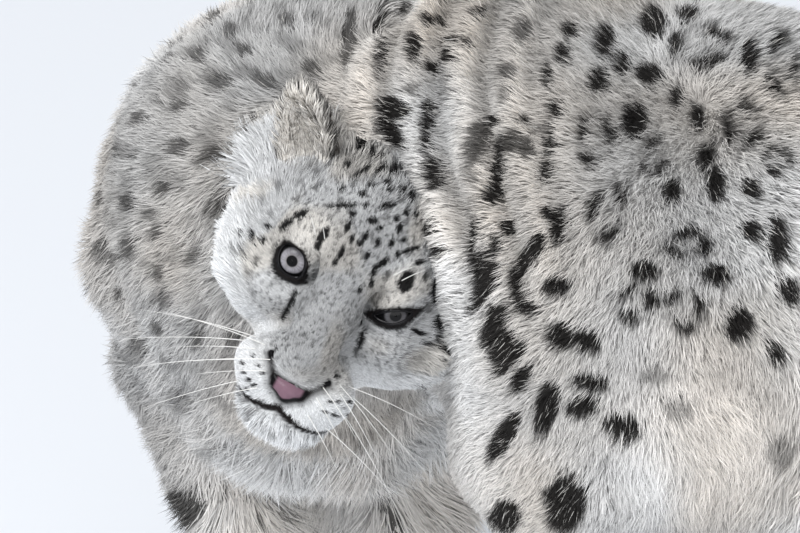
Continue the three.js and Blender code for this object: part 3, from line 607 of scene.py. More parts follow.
@dataclass
class Rosettes:
    """The marks that the photograph doesn't show, spread evenly over the rest of the body."""

    gap: float = 50.0
    tries: int = 14000
    closer: dict[str, float] = field(default_factory=lambda: {
        "foreleg": 0.6, "hindleg": 0.6, "forepaw": 0.42, "hindpaw": 0.42, "neck": 0.55, "chest": 0.55,
    })
    centres: Array = field(default_factory=lambda: np.zeros((0, 3)))
    sizes: Array = field(default_factory=lambda: np.zeros((0, 3)))
    along: Array = field(init=False)
    normal: Array = field(init=False)

    def spread(self, shell: Shell, part: Array, lies: Array) -> None:
        """Picks the middle of each mark, as far from the last ones as the gap asks.

        Args:
            shell: the skin.
            part: the part of each corner, by number.
            lies: the lie of the coat at each corner.
        """
        order = np.random.default_rng(SEED).permutation(np.arange(len(shell.points)))
        tight = np.array([self.closer.get(p.kind, 1.0) for p in PARTS])
        chosen = [int(order[0])]
        for index in order[1:self.tries]:
            away = np.linalg.norm(shell.points[chosen] - shell.points[index], axis=1)
            if away.min() >= self.gap * tight[part[index]]:
                chosen.append(int(index))
        picks = np.array(chosen)
        rng = np.random.default_rng(SEED + 1)
        scale = tight[part[picks]] * rng.uniform(0.8, 1.15, len(picks))
        self.centres = shell.points[picks]
        ring = np.where(scale > 0.7, rng.uniform(0.3, 0.62, len(picks)), 0.0)
        front = is_any(part[picks], "neck", "chest")
        size, phase = scale * np.where(front, 13, 21), rng.uniform(0, 6.28, len(picks))
        self.sizes = np.stack([size, ring, phase], axis=1)
        self.along = unit(lies[picks])
        self.normal = shell.normals[picks]

    def dark(self, points: Array) -> Array:
        """How dark these marks make each place, from 0 to 1."""
        tree = kdtree.KDTree(len(self.centres))
        for i, centre in enumerate(self.centres):
            tree.insert(centre, i)
        tree.balance()
        near = np.array([tree.find(p)[1] for p in points.tolist()])
        off = points - self.centres[near]
        along = self.along[near]
        across = np.cross(self.normal[near], along)
        size = self.sizes[near, 0]
        u, v = (off * along).sum(1) / (size * 1.18), (off * across).sum(1) / (size * 0.86)
        rough = grain(points, 9.0, 5) * 0.7 + grain(points, 4.0, 6) * 0.3 - 0.5
        reach = np.hypot(u, v) + rough * 0.55
        gap = 0.5 + 0.5 * np.cos(np.arctan2(v, u) * 3 + self.sizes[near, 2])
        ring = self.sizes[near, 1]
        edge = 1 - smooth(0.85, 1.12, reach)
        inner = np.where(ring > 0, smooth(ring - 0.05, ring + 0.15, reach), 1.0)
        broken = np.where(ring > 0, smooth(0.02, 0.2, gap + rough * 0.3 + 0.1), 1.0)
        return edge * (0.12 + 0.88 * inner) * broken


@dataclass(frozen=True)
class Grain:
    """Which way the hair tips point at one place of the picture: right and up."""

    x: float
    y: float
    right: float
    up: float
    stand: float = 0.0


FLANK_GRAIN = tuple(Grain(*row) for row in (
    (430, 250, -1.0, -0.1), (450, 340, -1.0, -0.25), (465, 430, -1.0, -0.4), (500, 510, -0.8, -0.7),
    (480, 120, -1.0, 0.1), (420, 40, -0.9, 0.3), (560, 160, -1.0, 0.0), (540, 350, -0.9, -0.5),
    (575, 450, -0.5, -1.0), (625, 300, -0.35, -1.0), (620, 450, 0.1, -1.0), (600, 60, -0.8, 0.3, 0.4),
    (670, 130, -0.3, -0.2, 0.9), (690, 60, 0.1, 0.3, 0.7), (690, 220, 0.1, -0.8, 0.4),
    (710, 320, 0.4, -1.0), (730, 420, 0.6, -0.9), (760, 200, 0.8, -0.5), (770, 80, 0.9, 0.1),
    (795, 300, 0.6, -0.8), (792, 420, -0.3, -1.0), (790, 500, -0.4, -1.0), (680, 500, 0.1, -1.0),
))


def picture_lie(points: Array) -> tuple[Array, Array]:
    """The lie of the flank's coat as the picture shows it.

    Args:
        points: places in the body's own millimetres.

    Returns:
        A direction for each place, and how much the hair stands up there.
    """
    seen = VIEW.pixels(points)
    right, up, _ = VIEW.basis()
    total, stand, weight = np.zeros((len(points), 3)), np.zeros(len(points)), np.zeros(len(points))
    for spot in FLANK_GRAIN:
        near = 1 / ((seen[:, 0] - spot.x) ** 2 + (seen[:, 1] - spot.y) ** 2 + 900) ** 2
        total += near[:, None] * (spot.right * right + spot.up * up)
        stand += near * spot.stand
        weight += near
    return unit(total), stand / weight


SPINE = ((8, 62, 520), (-12, 158, 500), (-32, 225, 484), (6, 268, 484), (58, 258, 488), (104, 198, 506),
         (170, 140, 500), (240, 112, 484), (392, 86, 488), (480, 71, 490))
TAIL_LINE = ((500, 66, 520), (572, 40, 470), (618, 22, 380), (640, 14, 270), (652, 22, 165), (680, 52, 88),
             (736, 108, 62), (788, 176, 70), (818, 244, 104), (828, 296, 156))
TOES = {"forepaw": (0.0, -1.0, -0.5), "hindpaw": (-1.0, 0.17, -0.5)}


def along_line(points: Array, line: Sequence[Sequence[float]], reach: float) -> Array:
    """The direction of a line where it passes nearest to each place, evened over a reach in millimetres."""
    knots = np.array(line, dtype=float)
    middles, runs = (knots[1:] + knots[:-1]) / 2, unit(knots[1:] - knots[:-1])
    square = ((points[:, None, :] - middles[None]) ** 2).sum(axis=2)
    weight = np.exp(-(square - square.min(axis=1, keepdims=True)) / (2 * reach * reach))
    return unit(weight @ runs)


class HeadForm:
    """The head below its coat, in its own frame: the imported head's main forms, with lids, lips and nose."""

    blend = 16.0
    brow_tilt = {-1: 40.0, 1: 30.0}
    gap = {-1: (11.8, 9.8), 1: (12.4, 4.8)}
    splay = 12.0
    ball = 16.0
    mouth = ((42, 80, -54), (33, 100, -61), (19, 114, -62), (7, 120, -59), (0, 121, -56))
    ears = {-1: ((-65, -26, 50), -30.0, -22.0), 1: ((66, -34, 40), 58.0, 30.0)}
    ear_half = (19.5, 11.5, 38.5)
    ear_hollow = (16.5, 9.8, 35.0)

    def __init__(self) -> None:
        """Lists the forms once."""
        withers = tuple(HEAD.local(np.array([[-12.0, 158.0, 500.0]]))[0])
        self.forms: list[Egg | Limb] = [
            Egg((0, -8, 6), (72, 80, 60)),
            Egg((0, 32, 21), (50, 42, 33)),
            Limb((0, 54, 13), (0, 109, -22), (24, 16.5)),
            Egg((3, 98, -69), (33, 25, 19)),
            Limb((2, 84, -58), (0, 8, -44), (33, 44)),
            Limb((0, -30, -2), withers, (70, 88)),
        ]
        for s in (-1, 1):
            self.forms += [
                Egg((47 * s, 16, -18), (36, 46, 40)),
                Egg((60 * s, -14, -10), (28, 38, 44)),
                Egg((31 * s, 46, 32), (18, 13, 9)),
                Egg((31 * s, 55, -13), (21, 18, 15)),
                Egg((19 * s, 99, -43), (23, 24, 18)),
            ]
        points = [np.array(p, dtype=float) for p in self.mouth]
        points += [p * np.array([-1, 1, 1]) for p in points[-2::-1]]
        line = np.array(points)
        runs = [np.linspace(a, b, 12, endpoint=False) for a, b in zip(line[:-1], line[1:])]
        self.mouth_line = settle(self.below, np.vstack([*runs, line[-1:]]))

    def outer(self, points: Array) -> Array:
        """The outside of the coat, without the eye sockets."""
        total = np.full(len(points), 1e3)
        for form in self.forms:
            total = melt(total, form.distance(points), self.blend)
        return total

    @staticmethod
    def depth(points: Array) -> Array:
        """How far the skin lies below the outside of the coat, in millimetres."""
        return 0.36 * HeadForm.hair(points)

    @staticmethod
    def hair(points: Array) -> Array:
        """The length of the coat over the head, in millimetres."""
        l, f, u = np.abs(points[:, 0]), points[:, 1], points[:, 2]
        reach = np.linalg.norm(points - np.array([0, 85, -12]), axis=1)
        length = 3.6 + 14 * smooth(78, 150, reach)
        ruff = smooth(46, 84, l) * smooth(34, -18, u)
        length += 24 * ruff
        chin = smooth(-58, -74, u) * smooth(20, 80, f)
        length += 10 * chin
        throat = smooth(-40, -80, u) * smooth(70, 20, f)
        return length + 18 * throat

    def sockets(self, points: Array, total: Array) -> Array:
        """The hollows that the eyes lie in."""
        for s in (-1, 1):
            total = carve(total, Egg((34.0 * s, 61, 12), (20, 18, 15)).distance(points), 7)
        return total

    def below(self, points: Array) -> Array:
        """The skin before lids, mouth and nostrils are cut."""
        return self.sockets(points, self.outer(points)) + self.depth(points)

    def eye_frame(self, side: int) -> tuple[Array, Array]:
        """The middle of one eyeball, and its side, look and up, one a row."""
        centre = np.array([34.0 * side, 50, 12])
        splay = math.radians(self.splay) * side
        look = np.array([math.sin(splay), math.cos(splay), 0])
        flat, tilt = np.cross(look, [0, 0, 1]), math.radians(self.brow_tilt[side]) * side
        wide = flat * math.cos(tilt) + np.array([0, 0, 1]) * math.sin(tilt)
        return centre, np.array([wide, look, np.cross(wide, look)])

    def eye_gap(self, points: Array, side: int) -> Array:
        """How far each place is outside the gap between the lids, in millimetres across the gap."""
        centre, basis = self.eye_frame(side)
        off = (points - centre) @ basis.T
        wide, tall = self.gap[side]
        across = off[:, 0] / wide
        reach = np.hypot(across, off[:, 2] / (tall * (1 - 0.25 * across**2).clip(0.4)))
        return np.where(off[:, 1] > 0, (reach - 1) * tall, 30.0)

    def mouth_gap(self, points: Array) -> Array:
        """How far each place is from the line of the mouth."""
        near = np.full(len(points), 99.0)
        close = (points[:, 1] > 60) & (points[:, 2] < -35)
        some = points[close]
        if len(some):
            best = np.full(len(some), 99.0)
            for knot in self.mouth_line[::2]:
                best = np.minimum(best, np.linalg.norm(some - knot, axis=1))
            near[close] = best
        return near

    def ear_frame(self, side: int) -> tuple[Array, Array]:
        """The middle of one ear, and its across, open and stand, one a row."""
        middle, lean, turn = self.ears[side]
        lean, turn = math.radians(lean), math.radians(turn)
        stand = np.array([math.sin(lean), 0, math.cos(lean)])
        face = np.array([math.sin(turn), math.cos(turn), 0])
        opening = unit(face - stand * (face @ stand))
        return np.array(middle, dtype=float), np.array([np.cross(opening, stand), opening, stand])

    def ear(self, points: Array, side: int) -> Array:
        """The thin cup of one ear."""
        middle, basis = self.ear_frame(side)
        off = (points - middle) @ basis.T
        cup = Egg((0, 0, 0), self.ear_half).distance(off)
        hollow = Egg((0, 8, 0), self.ear_hollow).distance(off)
        return carve(cup, hollow, 2.0)

    def nose(self, points: Array) -> Array:
        """The nose leather with its wings and nostrils."""
        one_side = points.copy()
        one_side[:, 0] = np.abs(points[:, 0])
        total = Egg((0, 115.5, -40.5), (13, 12.2, 7.8)).distance(points)
        total = melt(total, Limb((9, 121, -40.5), (20.5, 113.5, -27.5), (3.3, 1.9)).distance(one_side), 2.5)
        total = melt(total, Egg((0, 120, -45), (4.5, 7, 5.5)).distance(points), 3)
        total = carve(total, Egg((11.5, 127.5, -40.5), (4.2, 4.4, 2.4)).distance(one_side), 1.2)
        total = carve(total, Limb((0, 132, -34), (0, 126, -53), (0.8, 1.2)).distance(points), 1.2)
        return total

    def skin(self, points: Array) -> Array:
        """The finished skin of the head."""
        total = self.below(points)
        total = melt(total, Egg((0, 112, -26.2), (15.5, 15.4, 12)).distance(points), 4)
        total = melt(total, Limb((0, 108, -30), (0, 112, -40), (14, 11)).distance(points), 4)
        for side in (-1, 1):
            centre, basis = self.eye_frame(side)
            off = points - centre
            away = np.linalg.norm(off, axis=1)
            total = melt(total, away - self.ball - 2.2, 9)
            gap = np.where((off @ basis[1]) > 0, self.eye_gap(points, side), 30.0)
            total = carve(total, gap, 1.4)
            total = carve(total, away - self.ball - 0.25, 0.4)
            total = melt(total, self.ear(points, side), 5)
        line = Limb((0, 130, -46), (0, 122, -57), (1.2, 1.2)).distance(points)
        total = carve(total, line, 2)
        total = carve(total, self.mouth_gap(points) - 1.5, 2.2)
        return total


@dataclass
class Strands:
    """Hair in tapered, bending ribbons: one row a ribbon."""

    roots: Array
    normals: Array
    lies: Array
    length: Array
    lift: Array
    width: Array
    tint: Field
    spots: Array
    steps: int = 4
    # Colour from root to tip: partly the hair's own greyer base, partly painted shade deep in the coat.
    root_shade_and_tone: tuple[float, float, float] = (0.66, 0.95, 1.06)
    locks: Locks = ((22.0, 0.22), (6.5, 0.55))
    sway: Array | float = 0.16

    def bend(self, rng: np.random.Generator) -> Array:
        """The middle line of every ribbon, drawn together into locks.

        Args:
            rng: the seeded draw.

        Returns:
            An array of ribbons by steps by places.
        """
        count = len(self.roots)
        side = unit(np.cross(self.lies, self.normals))
        sway = (grain(self.roots, 16, 11) - 0.5) * 1.3 + rng.normal(0, 1, count) * self.sway
        tip_lift = np.radians(4) + self.lift * rng.uniform(0.15, 0.5, count)
        places = [self.roots]
        for k in range(self.steps):
            share = (k + 0.5) / self.steps
            angle = self.lift * (1 - share) + tip_lift * share
            way = np.cos(angle)[:, None] * (self.lies + side * (sway * (0.25 + share))[:, None])
            way = unit(way + np.sin(angle)[:, None] * self.normals)
            places.append(places[-1] + way * (self.length / self.steps)[:, None])
        lines = np.stack(places, axis=1)
        for gap, pull in self.locks:
            lines = self.draw(lines, gap, pull, rng)
        return lines

    def draw(self, lines: Array, gap: float, pull: float, rng: np.random.Generator) -> Array:
        """Pulls the tips of neighbours together, in locks about one gap apart."""
        keys = np.floor(self.roots / gap + grain(self.roots, gap * 2, 21)[:, None]).astype(np.int64)
        _, first = np.unique(keys, axis=0, return_index=True)
        tree = kdtree.KDTree(len(first))
        for i, index in enumerate(first):
            tree.insert(self.roots[index], i)
        tree.balance()
        near = first[np.array([tree.find(p)[1] for p in self.roots.tolist()])]
        target = lines[near, -1] + (self.roots - self.roots[near]) * 0.25
        strength = pull * rng.uniform(0.5, 1.3, len(lines))
        share = (np.arange(self.steps + 1) / self.steps) ** 1.5
        return lines + (target - lines[:, -1])[:, None, :] * strength[:, None, None] * share[None, :, None]

    def build(self, name: str, rng: np.random.Generator, shift: Array, finish: bpy.types.Material,
              limit: int = 190_000) -> list[bpy.types.Object]:
        """Makes the ribbons, in as many pieces as their triangles ask.

        Args:
            name: the pieces' name, which gets a number.
            rng: the seeded draw.
            shift: from the body's millimetres to the frame's.
            finish: the material.
            limit: the most triangles in one piece.

        Returns:
            The pieces.
        """
        lines = self.bend(rng)
        count, steps = len(lines), self.steps
        side = unit(np.cross(self.lies, self.normals))
        roll = rng.normal(0, 0.45, count)
        flat = side * np.cos(roll)[:, None] + self.normals * np.sin(roll)[:, None]
        profile = np.interp(np.arange(steps) / steps, [0, 0.35, 0.75, 1], [0.75, 1.0, 0.62, 0.1])
        half = flat[:, None, :] * (self.width[:, None] * profile[None] / 2)[:, :, None]
        pairs = np.stack([lines[:, :-1] - half, lines[:, :-1] + half], axis=2).reshape(count, steps * 2, 3)
        points = np.concatenate([pairs, lines[:, -1:]], axis=1)
        one = []
        for k in range(steps - 1):
            a = 2 * k
            one += [[a, a + 1, a + 3], [a, a + 3, a + 2]]
        last = 2 * (steps - 1)
        one.append([last, last + 1, last + 2])
        pattern = np.array(one)
        along = np.append(np.repeat(np.arange(steps) / steps, 2), 1.0)
        outer = self.tint((lines[:, -1] + lines[:, -2]) / 2)
        root_shade_and_tone = np.interp(np.arange(steps + 1) / steps, [0, 0.5, 1], self.root_shade_and_tone)
        knots = outer[:, None] * root_shade_and_tone[None, :, None]
        tint = knots[:, np.append(np.repeat(np.arange(steps), 2), steps)]
        across = np.append(np.tile([0.0, 1.0], steps), 0.5)
        offset = rng.uniform(0, 60, count)
        strand = np.stack([
            across[None] * (self.width * 0.5)[:, None] + offset[:, None],
            along[None] * (self.length * 0.03)[:, None] + offset[:, None],
        ], axis=2)
        patch = np.stack([(across - 0.5) * 0.003, (along - 0.5) * 0.003], axis=1)
        bake = self.spots[:, None] + patch[None]
        pieces = []
        per = limit // len(pattern)
        groups = max(1, math.ceil(count / per))
        order = np.argsort(self.roots[:, 0], kind="stable")
        for g, rows in enumerate(np.array_split(order, groups)):
            width = points.shape[1]
            faces = (pattern[None] + (np.arange(len(rows)) * width)[:, None, None]).reshape(-1, 3)
            made = dress(f"{name}_{g + 1}" if groups > 1 else name, points[rows].reshape(-1, 3), faces, shift,
                         tint[rows].reshape(-1, 3), finish)
            unwrap(made, "OFBake", bake[rows].reshape(-1, 2))
            unwrap(made, "Strand", strand[rows].reshape(-1, 2))
            pieces.append(made)
        return pieces


def mesh_object(name: str, points: Array, faces: Array, shift: Array) -> bpy.types.Object:
    """A mesh from arrays, in the frame's metres, linked to the scene.

    Args:
        name: the object's name.
        points: places in the body's own millimetres.
        faces: rows of three or four corners.
        shift: from the body's millimetres to the frame's.

    Returns:
        The object, shaded smooth.
    """
    mesh = bpy.data.meshes.new(name)
    count, ring = faces.shape
    mesh.vertices.add(len(points))
    mesh.vertices.foreach_set("co", ((points + shift) * MM).astype(np.float32).ravel())
    mesh.loops.add(count * ring)
    mesh.loops.foreach_set("vertex_index", faces.astype(np.int32).ravel())
    mesh.polygons.add(count)
    mesh.polygons.foreach_set("loop_start", (np.arange(count) * ring).astype(np.int32))
    mesh.polygons.foreach_set("use_smooth", np.ones(count, dtype=bool))
    mesh.update(calc_edges=True)
    made = bpy.data.objects.new(name, mesh)
    bpy.context.scene.collection.objects.link(made)
    return made


def dress(name: str, points: Array, faces: Array, shift: Array, tint: Array,
          finish: bpy.types.Material) -> bpy.types.Object:
    """A mesh with its colours and its finish.

    Args:
        name: the object's name.
        points: places in the body's own millimetres.
        faces: rows of three or four corners.
        shift: from the body's millimetres to the frame's.
        tint: a linear colour for each corner, or one for all.
        finish: the material.

    Returns:
        The object.
    """
    made = mesh_object(name, points, faces, shift)
    layer = made.data.color_attributes.new("Tint", "FLOAT_COLOR", "POINT")
    full = np.ones((len(points), 4), dtype=np.float32)
    full[:, :3] = tint
    layer.data.foreach_set("color", full.ravel())
    made.data.materials.append(finish)
    return made


def tube_faces(start: int, rings: int, sides: int, shut: bool = False) -> list[list[int]]:
    """The quads of a tube.

    Args:
        start: the number of the first ring's first corner.
        rings: how many rings there are.
        sides: how many corners a ring has.
        shut: True when the last ring joins the first.

    Returns:
        Four corners a quad.
    """
    faces = []
    for k in range(rings if shut else rings - 1):
        a, b = start + k * sides, start + (k + 1) % rings * sides
        for i in range(sides):
            j = (i + 1) % sides
            faces.append([a + i, b + i, b + j, a + j] if shut else [a + i, a + j, b + j, b + i])
    return faces


def turned(count: int) -> Array:
    """Angles of one full turn in equal steps."""
    return np.linspace(0, 2 * math.pi, count, endpoint=False)


def unwrap(made: bpy.types.Object, name: str, places: Array) -> None:
    """Gives a mesh a UV map from one place a corner."""
    mesh = made.data
    layer = mesh.uv_layers.new(name=name)
    corner = np.empty(len(mesh.loops), dtype=np.int32)
    mesh.loops.foreach_get("vertex_index", corner)
    layer.uv.foreach_set("vector", places[corner].astype(np.float32).ravel())


class Sowing:
    """Roots picked over a shell's triangles, more of them where a triangle is large or its crowd high."""

    def __init__(self, shell: Shell, tri: Array, crowd: Array, count: int, rng: np.random.Generator) -> None:
        """Picks the roots.

        Args:
            shell: the surface.
            tri: the triangles that may be picked.
            crowd: how thickly each one grows.
            count: how many roots.
            rng: the seeded draw.
        """
        a, b, c = (shell.points[tri[:, i]] for i in range(3))
        weight = np.linalg.norm(np.cross(b - a, c - a), axis=1) / 2 * crowd
        self.pick = rng.choice(len(tri), count, p=weight / weight.sum())
        r1, r2 = np.sqrt(rng.random(count)), rng.random(count)
        self.shares = np.stack([1 - r1, r1 * (1 - r2), r1 * r2], axis=1)
        self.corners = tri[self.pick]
        self.roots, self.normals = self.at(shell.points), unit(self.at(shell.normals))

    def at(self, values: Array) -> Array:
        """What the corners hold, at the roots."""
        return (values[self.corners] * self.shares[:, :, None]).sum(axis=1)


def unfold(points: Array, normals: Array, part: Array, low: Array, high: Array) -> Array:
    """The place of each point on an unwrap of the skin: a block for each part, a cell for each side of it.

    Args:
        points: places in the body's own millimetres.
        normals: the skin's normals there.
        part: the number of each one's part.
        low: the lowest corner of each part.
        high: the highest corner of each part.

    Returns:
        Two numbers from 0 to 1 a point.
    """
    share = (points - low[part]) / np.maximum(high[part] - low[part], 1)
    axis = np.argmax(np.abs(normals), axis=1)
    rows = np.arange(len(points))
    sign = (normals[rows, axis] > 0).astype(int)
    flat = np.stack([share[rows, (axis + 1) % 3], share[rows, (axis + 2) % 3]], axis=1).clip(0, 1)
    block = np.stack([part % 5, part // 5], axis=1) / np.array([5, 4])
    cell = np.stack([axis, sign], axis=1) / np.array([15, 8])
    return block + cell + (flat * 0.9 + 0.05) / np.array([15, 8])


def set_sockets(node: bpy.types.Node, values: dict[str, float]) -> None:
    """Sets a node's own sockets by name."""
    for name, value in values.items():
        node.inputs[name].default_value = value


def new_finish(name: str, values: dict[str, float]) -> tuple[bpy.types.Material, bpy.types.Node, Socket]:
    """A material with its shader's sockets set.

    Args:
        name: the material's name.
        values: the shader's sockets.

    Returns:
        The material, its shader and the mesh's own colour.
    """
    made = bpy.data.materials.new(name)
    made.use_nodes = True
    shader = made.node_tree.nodes["Principled BSDF"]
    set_sockets(shader, values)
    tint = made.node_tree.nodes.new("ShaderNodeVertexColor")
    tint.layer_name = "Tint"
    return made, shader, tint.outputs["Color"]


def add_bump(made: bpy.types.Material, height: Socket, strength: float, depth: float) -> None:
    """Gives a finish fine relief.

    Args:
        made: the material.
        height: what the relief follows.
        strength: how strong it is, from 0 to 1.
        depth: how deep it is, in metres.
    """
    bump = made.node_tree.nodes.new("ShaderNodeBump")
    set_sockets(bump, {"Strength": strength, "Distance": depth})
    made.node_tree.links.new(height, bump.inputs["Height"])
    made.node_tree.links.new(bump.outputs["Normal"], made.node_tree.nodes["Principled BSDF"].inputs["Normal"])


@dataclass(frozen=True)
class CoatFinish:
    """Matt hair, its colour from the ribbons and its fine lines along them."""

    roughness: float = 0.8
    specular: float = 0.1
    lines: float = 0.2

    def material(self, name: str, strand: bool) -> bpy.types.Material:
        """Builds the finish.

        Args:
            name: the material's name.
            strand: True for fine lines along each ribbon, False for the grain of skin under hair.

        Returns:
            The material.
        """
        values = {"Roughness": self.roughness, "Specular IOR Level": self.specular}
        made, shader, tint = new_finish(name, values)
        nodes, links = made.node_tree.nodes, made.node_tree.links
        noise = nodes.new("ShaderNodeTexNoise")
        where = nodes.new("ShaderNodeUVMap" if strand else "ShaderNodeTexCoord")
        if strand:
            where.uv_map = "Strand"
        links.new(where.outputs["UV" if strand else "Object"], noise.inputs["Vector"])
        set_sockets(noise, {"Detail": 3, "Scale": 3.5 if strand else 900})
        ramp = nodes.new("ShaderNodeMapRange")
        set_sockets(ramp, {"From Min": 0.3, "From Max": 0.7})
        set_sockets(ramp, {"To Min": 1 - self.lines, "To Max": 1 + self.lines * 0.6})
        scale = nodes.new("ShaderNodeVectorMath")
        scale.operation = "SCALE"
        links.new(noise.outputs["Fac"], ramp.inputs["Value"])
        links.new(tint, scale.inputs[0])
        links.new(ramp.outputs["Result"], scale.inputs["Scale"])
        links.new(scale.outputs["Vector"], shader.inputs["Base Color"])
        add_bump(made, noise.outputs["Fac"], 0.35, 0.0004)
        return made


@dataclass(frozen=True)
class WetFinish:
    """Smooth moist stuff whose colour is painted on the mesh: an eye, nose leather, lids or claws."""

    roughness: float
    coat: float
    grain_scale: float
    grain_depth: float
    specular: float = 0.05

    def material(self, name: str) -> bpy.types.Material:
        """Builds the finish under a name, with its pebbled grain."""
        made, shader, tint = new_finish(name, {
            "Roughness": self.roughness, "Coat Weight": self.coat, "Coat Roughness": 0.03,
            "Specular IOR Level": self.specular,
        })
        nodes, links = made.node_tree.nodes, made.node_tree.links
        links.new(tint, shader.inputs["Base Color"])
        where = nodes.new("ShaderNodeTexCoord")
        cells = nodes.new("ShaderNodeTexVoronoi")
        set_sockets(cells, {"Scale": self.grain_scale})
        links.new(where.outputs["Object"], cells.inputs["Vector"])
        add_bump(made, cells.outputs["Distance"], self.grain_depth, 0.0005)
        return made


@dataclass
class Body:
    """The trunk, legs and tail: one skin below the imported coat, and what grows on it."""

    shift: Array
    voxel: float = 5.5
    facet_turns: int = 26
    fold_depth: float = 6.5
    skin: Shell = field(init=False)
    part: Array = field(init=False)
    lies: Array = field(init=False)
    values: Array = field(init=False)
    stand: Array = field(init=False)
    owner: Array = field(init=False)
    tree: bvhtree.BVHTree = field(init=False)
    rosettes: Rosettes = field(default_factory=Rosettes)

    def corners(self, mesh: bpy.types.Mesh) -> Array:
        """A mesh's corners in the body's own millimetres."""
        flat = np.empty(len(mesh.vertices) * 3, dtype=np.float32)
        mesh.vertices.foreach_get("co", flat)
        return flat.reshape(-1, 3).astype(float) / MM - self.shift

    def cast(self) -> Shell:
        """One closed surface round all packed flesh nodes, without their seams."""
        points, faces, start = [], [], 0
        owner: list[Array] = []
        for part in BODY_PARTS:
            mesh = bpy.data.objects[part.value].data
            mesh.calc_loop_triangles()
            tri = np.empty(len(mesh.loop_triangles) * 3, dtype=np.int32)
            mesh.loop_triangles.foreach_get("vertices", tri)
            own = Shell(self.corners(mesh), tri.reshape(-1, 3).astype(np.int64))
            own.find_normals()
            points.append(own.points + own.normals * 1.2)
            faces.append(own.faces + start)
            owner.append(np.full(len(own.faces), PARTS.index(part)))
            start += len(own.points)
        whole, tris = np.concatenate(points), np.concatenate(faces)
        self.tree = bvhtree.BVHTree.FromPolygons(whole.tolist(), tris.tolist())
        self.owner = np.concatenate(owner)
        rough = mesh_object("cast", whole, tris, self.shift)
        remesh = rough.modifiers.new("voxels", "REMESH")
        remesh.mode = "VOXEL"
        remesh.voxel_size = self.voxel * MM
        made = bpy.data.meshes.new_from_object(rough.evaluated_get(bpy.context.evaluated_depsgraph_get()))
        quads = np.empty(len(made.loops), dtype=np.int32)
        made.loops.foreach_get("vertex_index", quads)
        shell = Shell(self.corners(made), quads.reshape(-1, 4).astype(np.int64))
        bpy.data.meshes.remove(made)
        bpy.data.objects.remove(rough)
        return shell

    def grow(self) -> None:
        """Finds the skin, the part of each corner and the lie of the coat."""
        shell = self.cast()
        hits = [self.tree.find_nearest(Vector(p)) for p in shell.points.tolist()]
        self.part = self.owner[np.array([hit[2] for hit in hits])]
        calm = np.array([0.12 if "paw" in p.value else 0.3 if "leg" in p.value else 0.5 for p in PARTS])
        shell.points = shell.even(shell.points, self.facet_turns, calm[self.part])
        shell.find_normals()
        table = np.array([astuple(growth_of(p)) for p in PARTS])
        self.values = shell.even(table[self.part], 16)
        wrinkle = self.wrinkles(shell.points, shell.normals)
        depth = self.values[:, 1] + wrinkle
        shell.points = shell.points - shell.normals * depth[:, None]
        shell.points = shell.even(shell.points, 4)
        shell.find_normals()
        self.skin = shell
        self.find_lies()

    @staticmethod
    def soft(seen: Array) -> Array:
        """Where the picture shows the long soft hair of the groin, from 0 to 1."""
        return smooth(105, 55, np.hypot(seen[:, 0] - 700, (seen[:, 1] - 455) / 0.85))

    @staticmethod
    def crease(seen: Array) -> Array:
        """How deep in an upright fold each place of the picture is, from -1 on a ridge to 1 in a groove."""
        x = seen[:, 0] + 18 * np.sin(seen[:, 1] / 60)
        mask = smooth(345, 385, x) * smooth(590, 520, x) * smooth(330, 230, seen[:, 1])
        return -np.cos((x - 380) / 50 * 2 * math.pi) * mask

    def wrinkles(self, points: Array, normals: Array) -> Array:
        """The upright folds where the flank is pressed together, in millimetres of depth."""
        seen = VIEW.pixels(points)
        pressed = is_any(self.part, "flank", "neck", "chest")
        return self.fold_depth * self.crease(seen) * smooth(0, 0.3, VIEW.facing(normals)) * pressed

    def find_lies(self) -> None:
        """The direction in which the hair lies, at every corner."""
        points, normals = self.skin.points, self.skin.normals
        spine = along_line(points, SPINE, 55)
        lie = spine + np.array([0, 0, -0.75])
        tail = along_line(points, TAIL_LINE, 30)
        is_tail = is_any(self.part, "tail")
        lie[is_tail] = tail[is_tail] + np.array([0, 0, -0.12])
        is_leg = is_any(self.part, "foreleg", "hindleg")
        lie[is_leg] = np.array([0, 0, -1.0]) + 0.1 * spine[is_leg]
        for name, toes in TOES.items():
            lie[is_any(self.part, name)] = np.array(toes)
        front = is_any(self.part, "neck", "chest")
        lie[front] = spine[front] * 0.8 + np.array([-0.1, 0, -0.8])
        seen = VIEW.pixels(points)
        shown, stand = picture_lie(points)
        rear = is_any(self.part, "flank", "hips") | (is_any(self.part, "hindleg") & (seen[:, 1] < 540))
        framed = smooth(900, 800, seen[:, 0]) * smooth(640, 560, seen[:, 1]) * smooth(-60, 0, seen[:, 1])
        facing = smooth(-0.15, 0.25, VIEW.facing(normals))
        share = np.where(rear, framed * facing, 0)
        lie = mix(unit(lie), shown, share)
        self.stand = stand * share
        lie = self.skin.even(unit(lie), 8)
        self.lies = flattened(lie, normals)

    def blocks(self) -> tuple[Array, Array]:
        """The lowest and highest corner of each part, for the unwrap."""
        room = 6.0
        boxes = np.array([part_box(p.value) for p in PARTS], dtype=float) / MM - self.shift
        return boxes[:, 0] - room, boxes[:, 1] + room

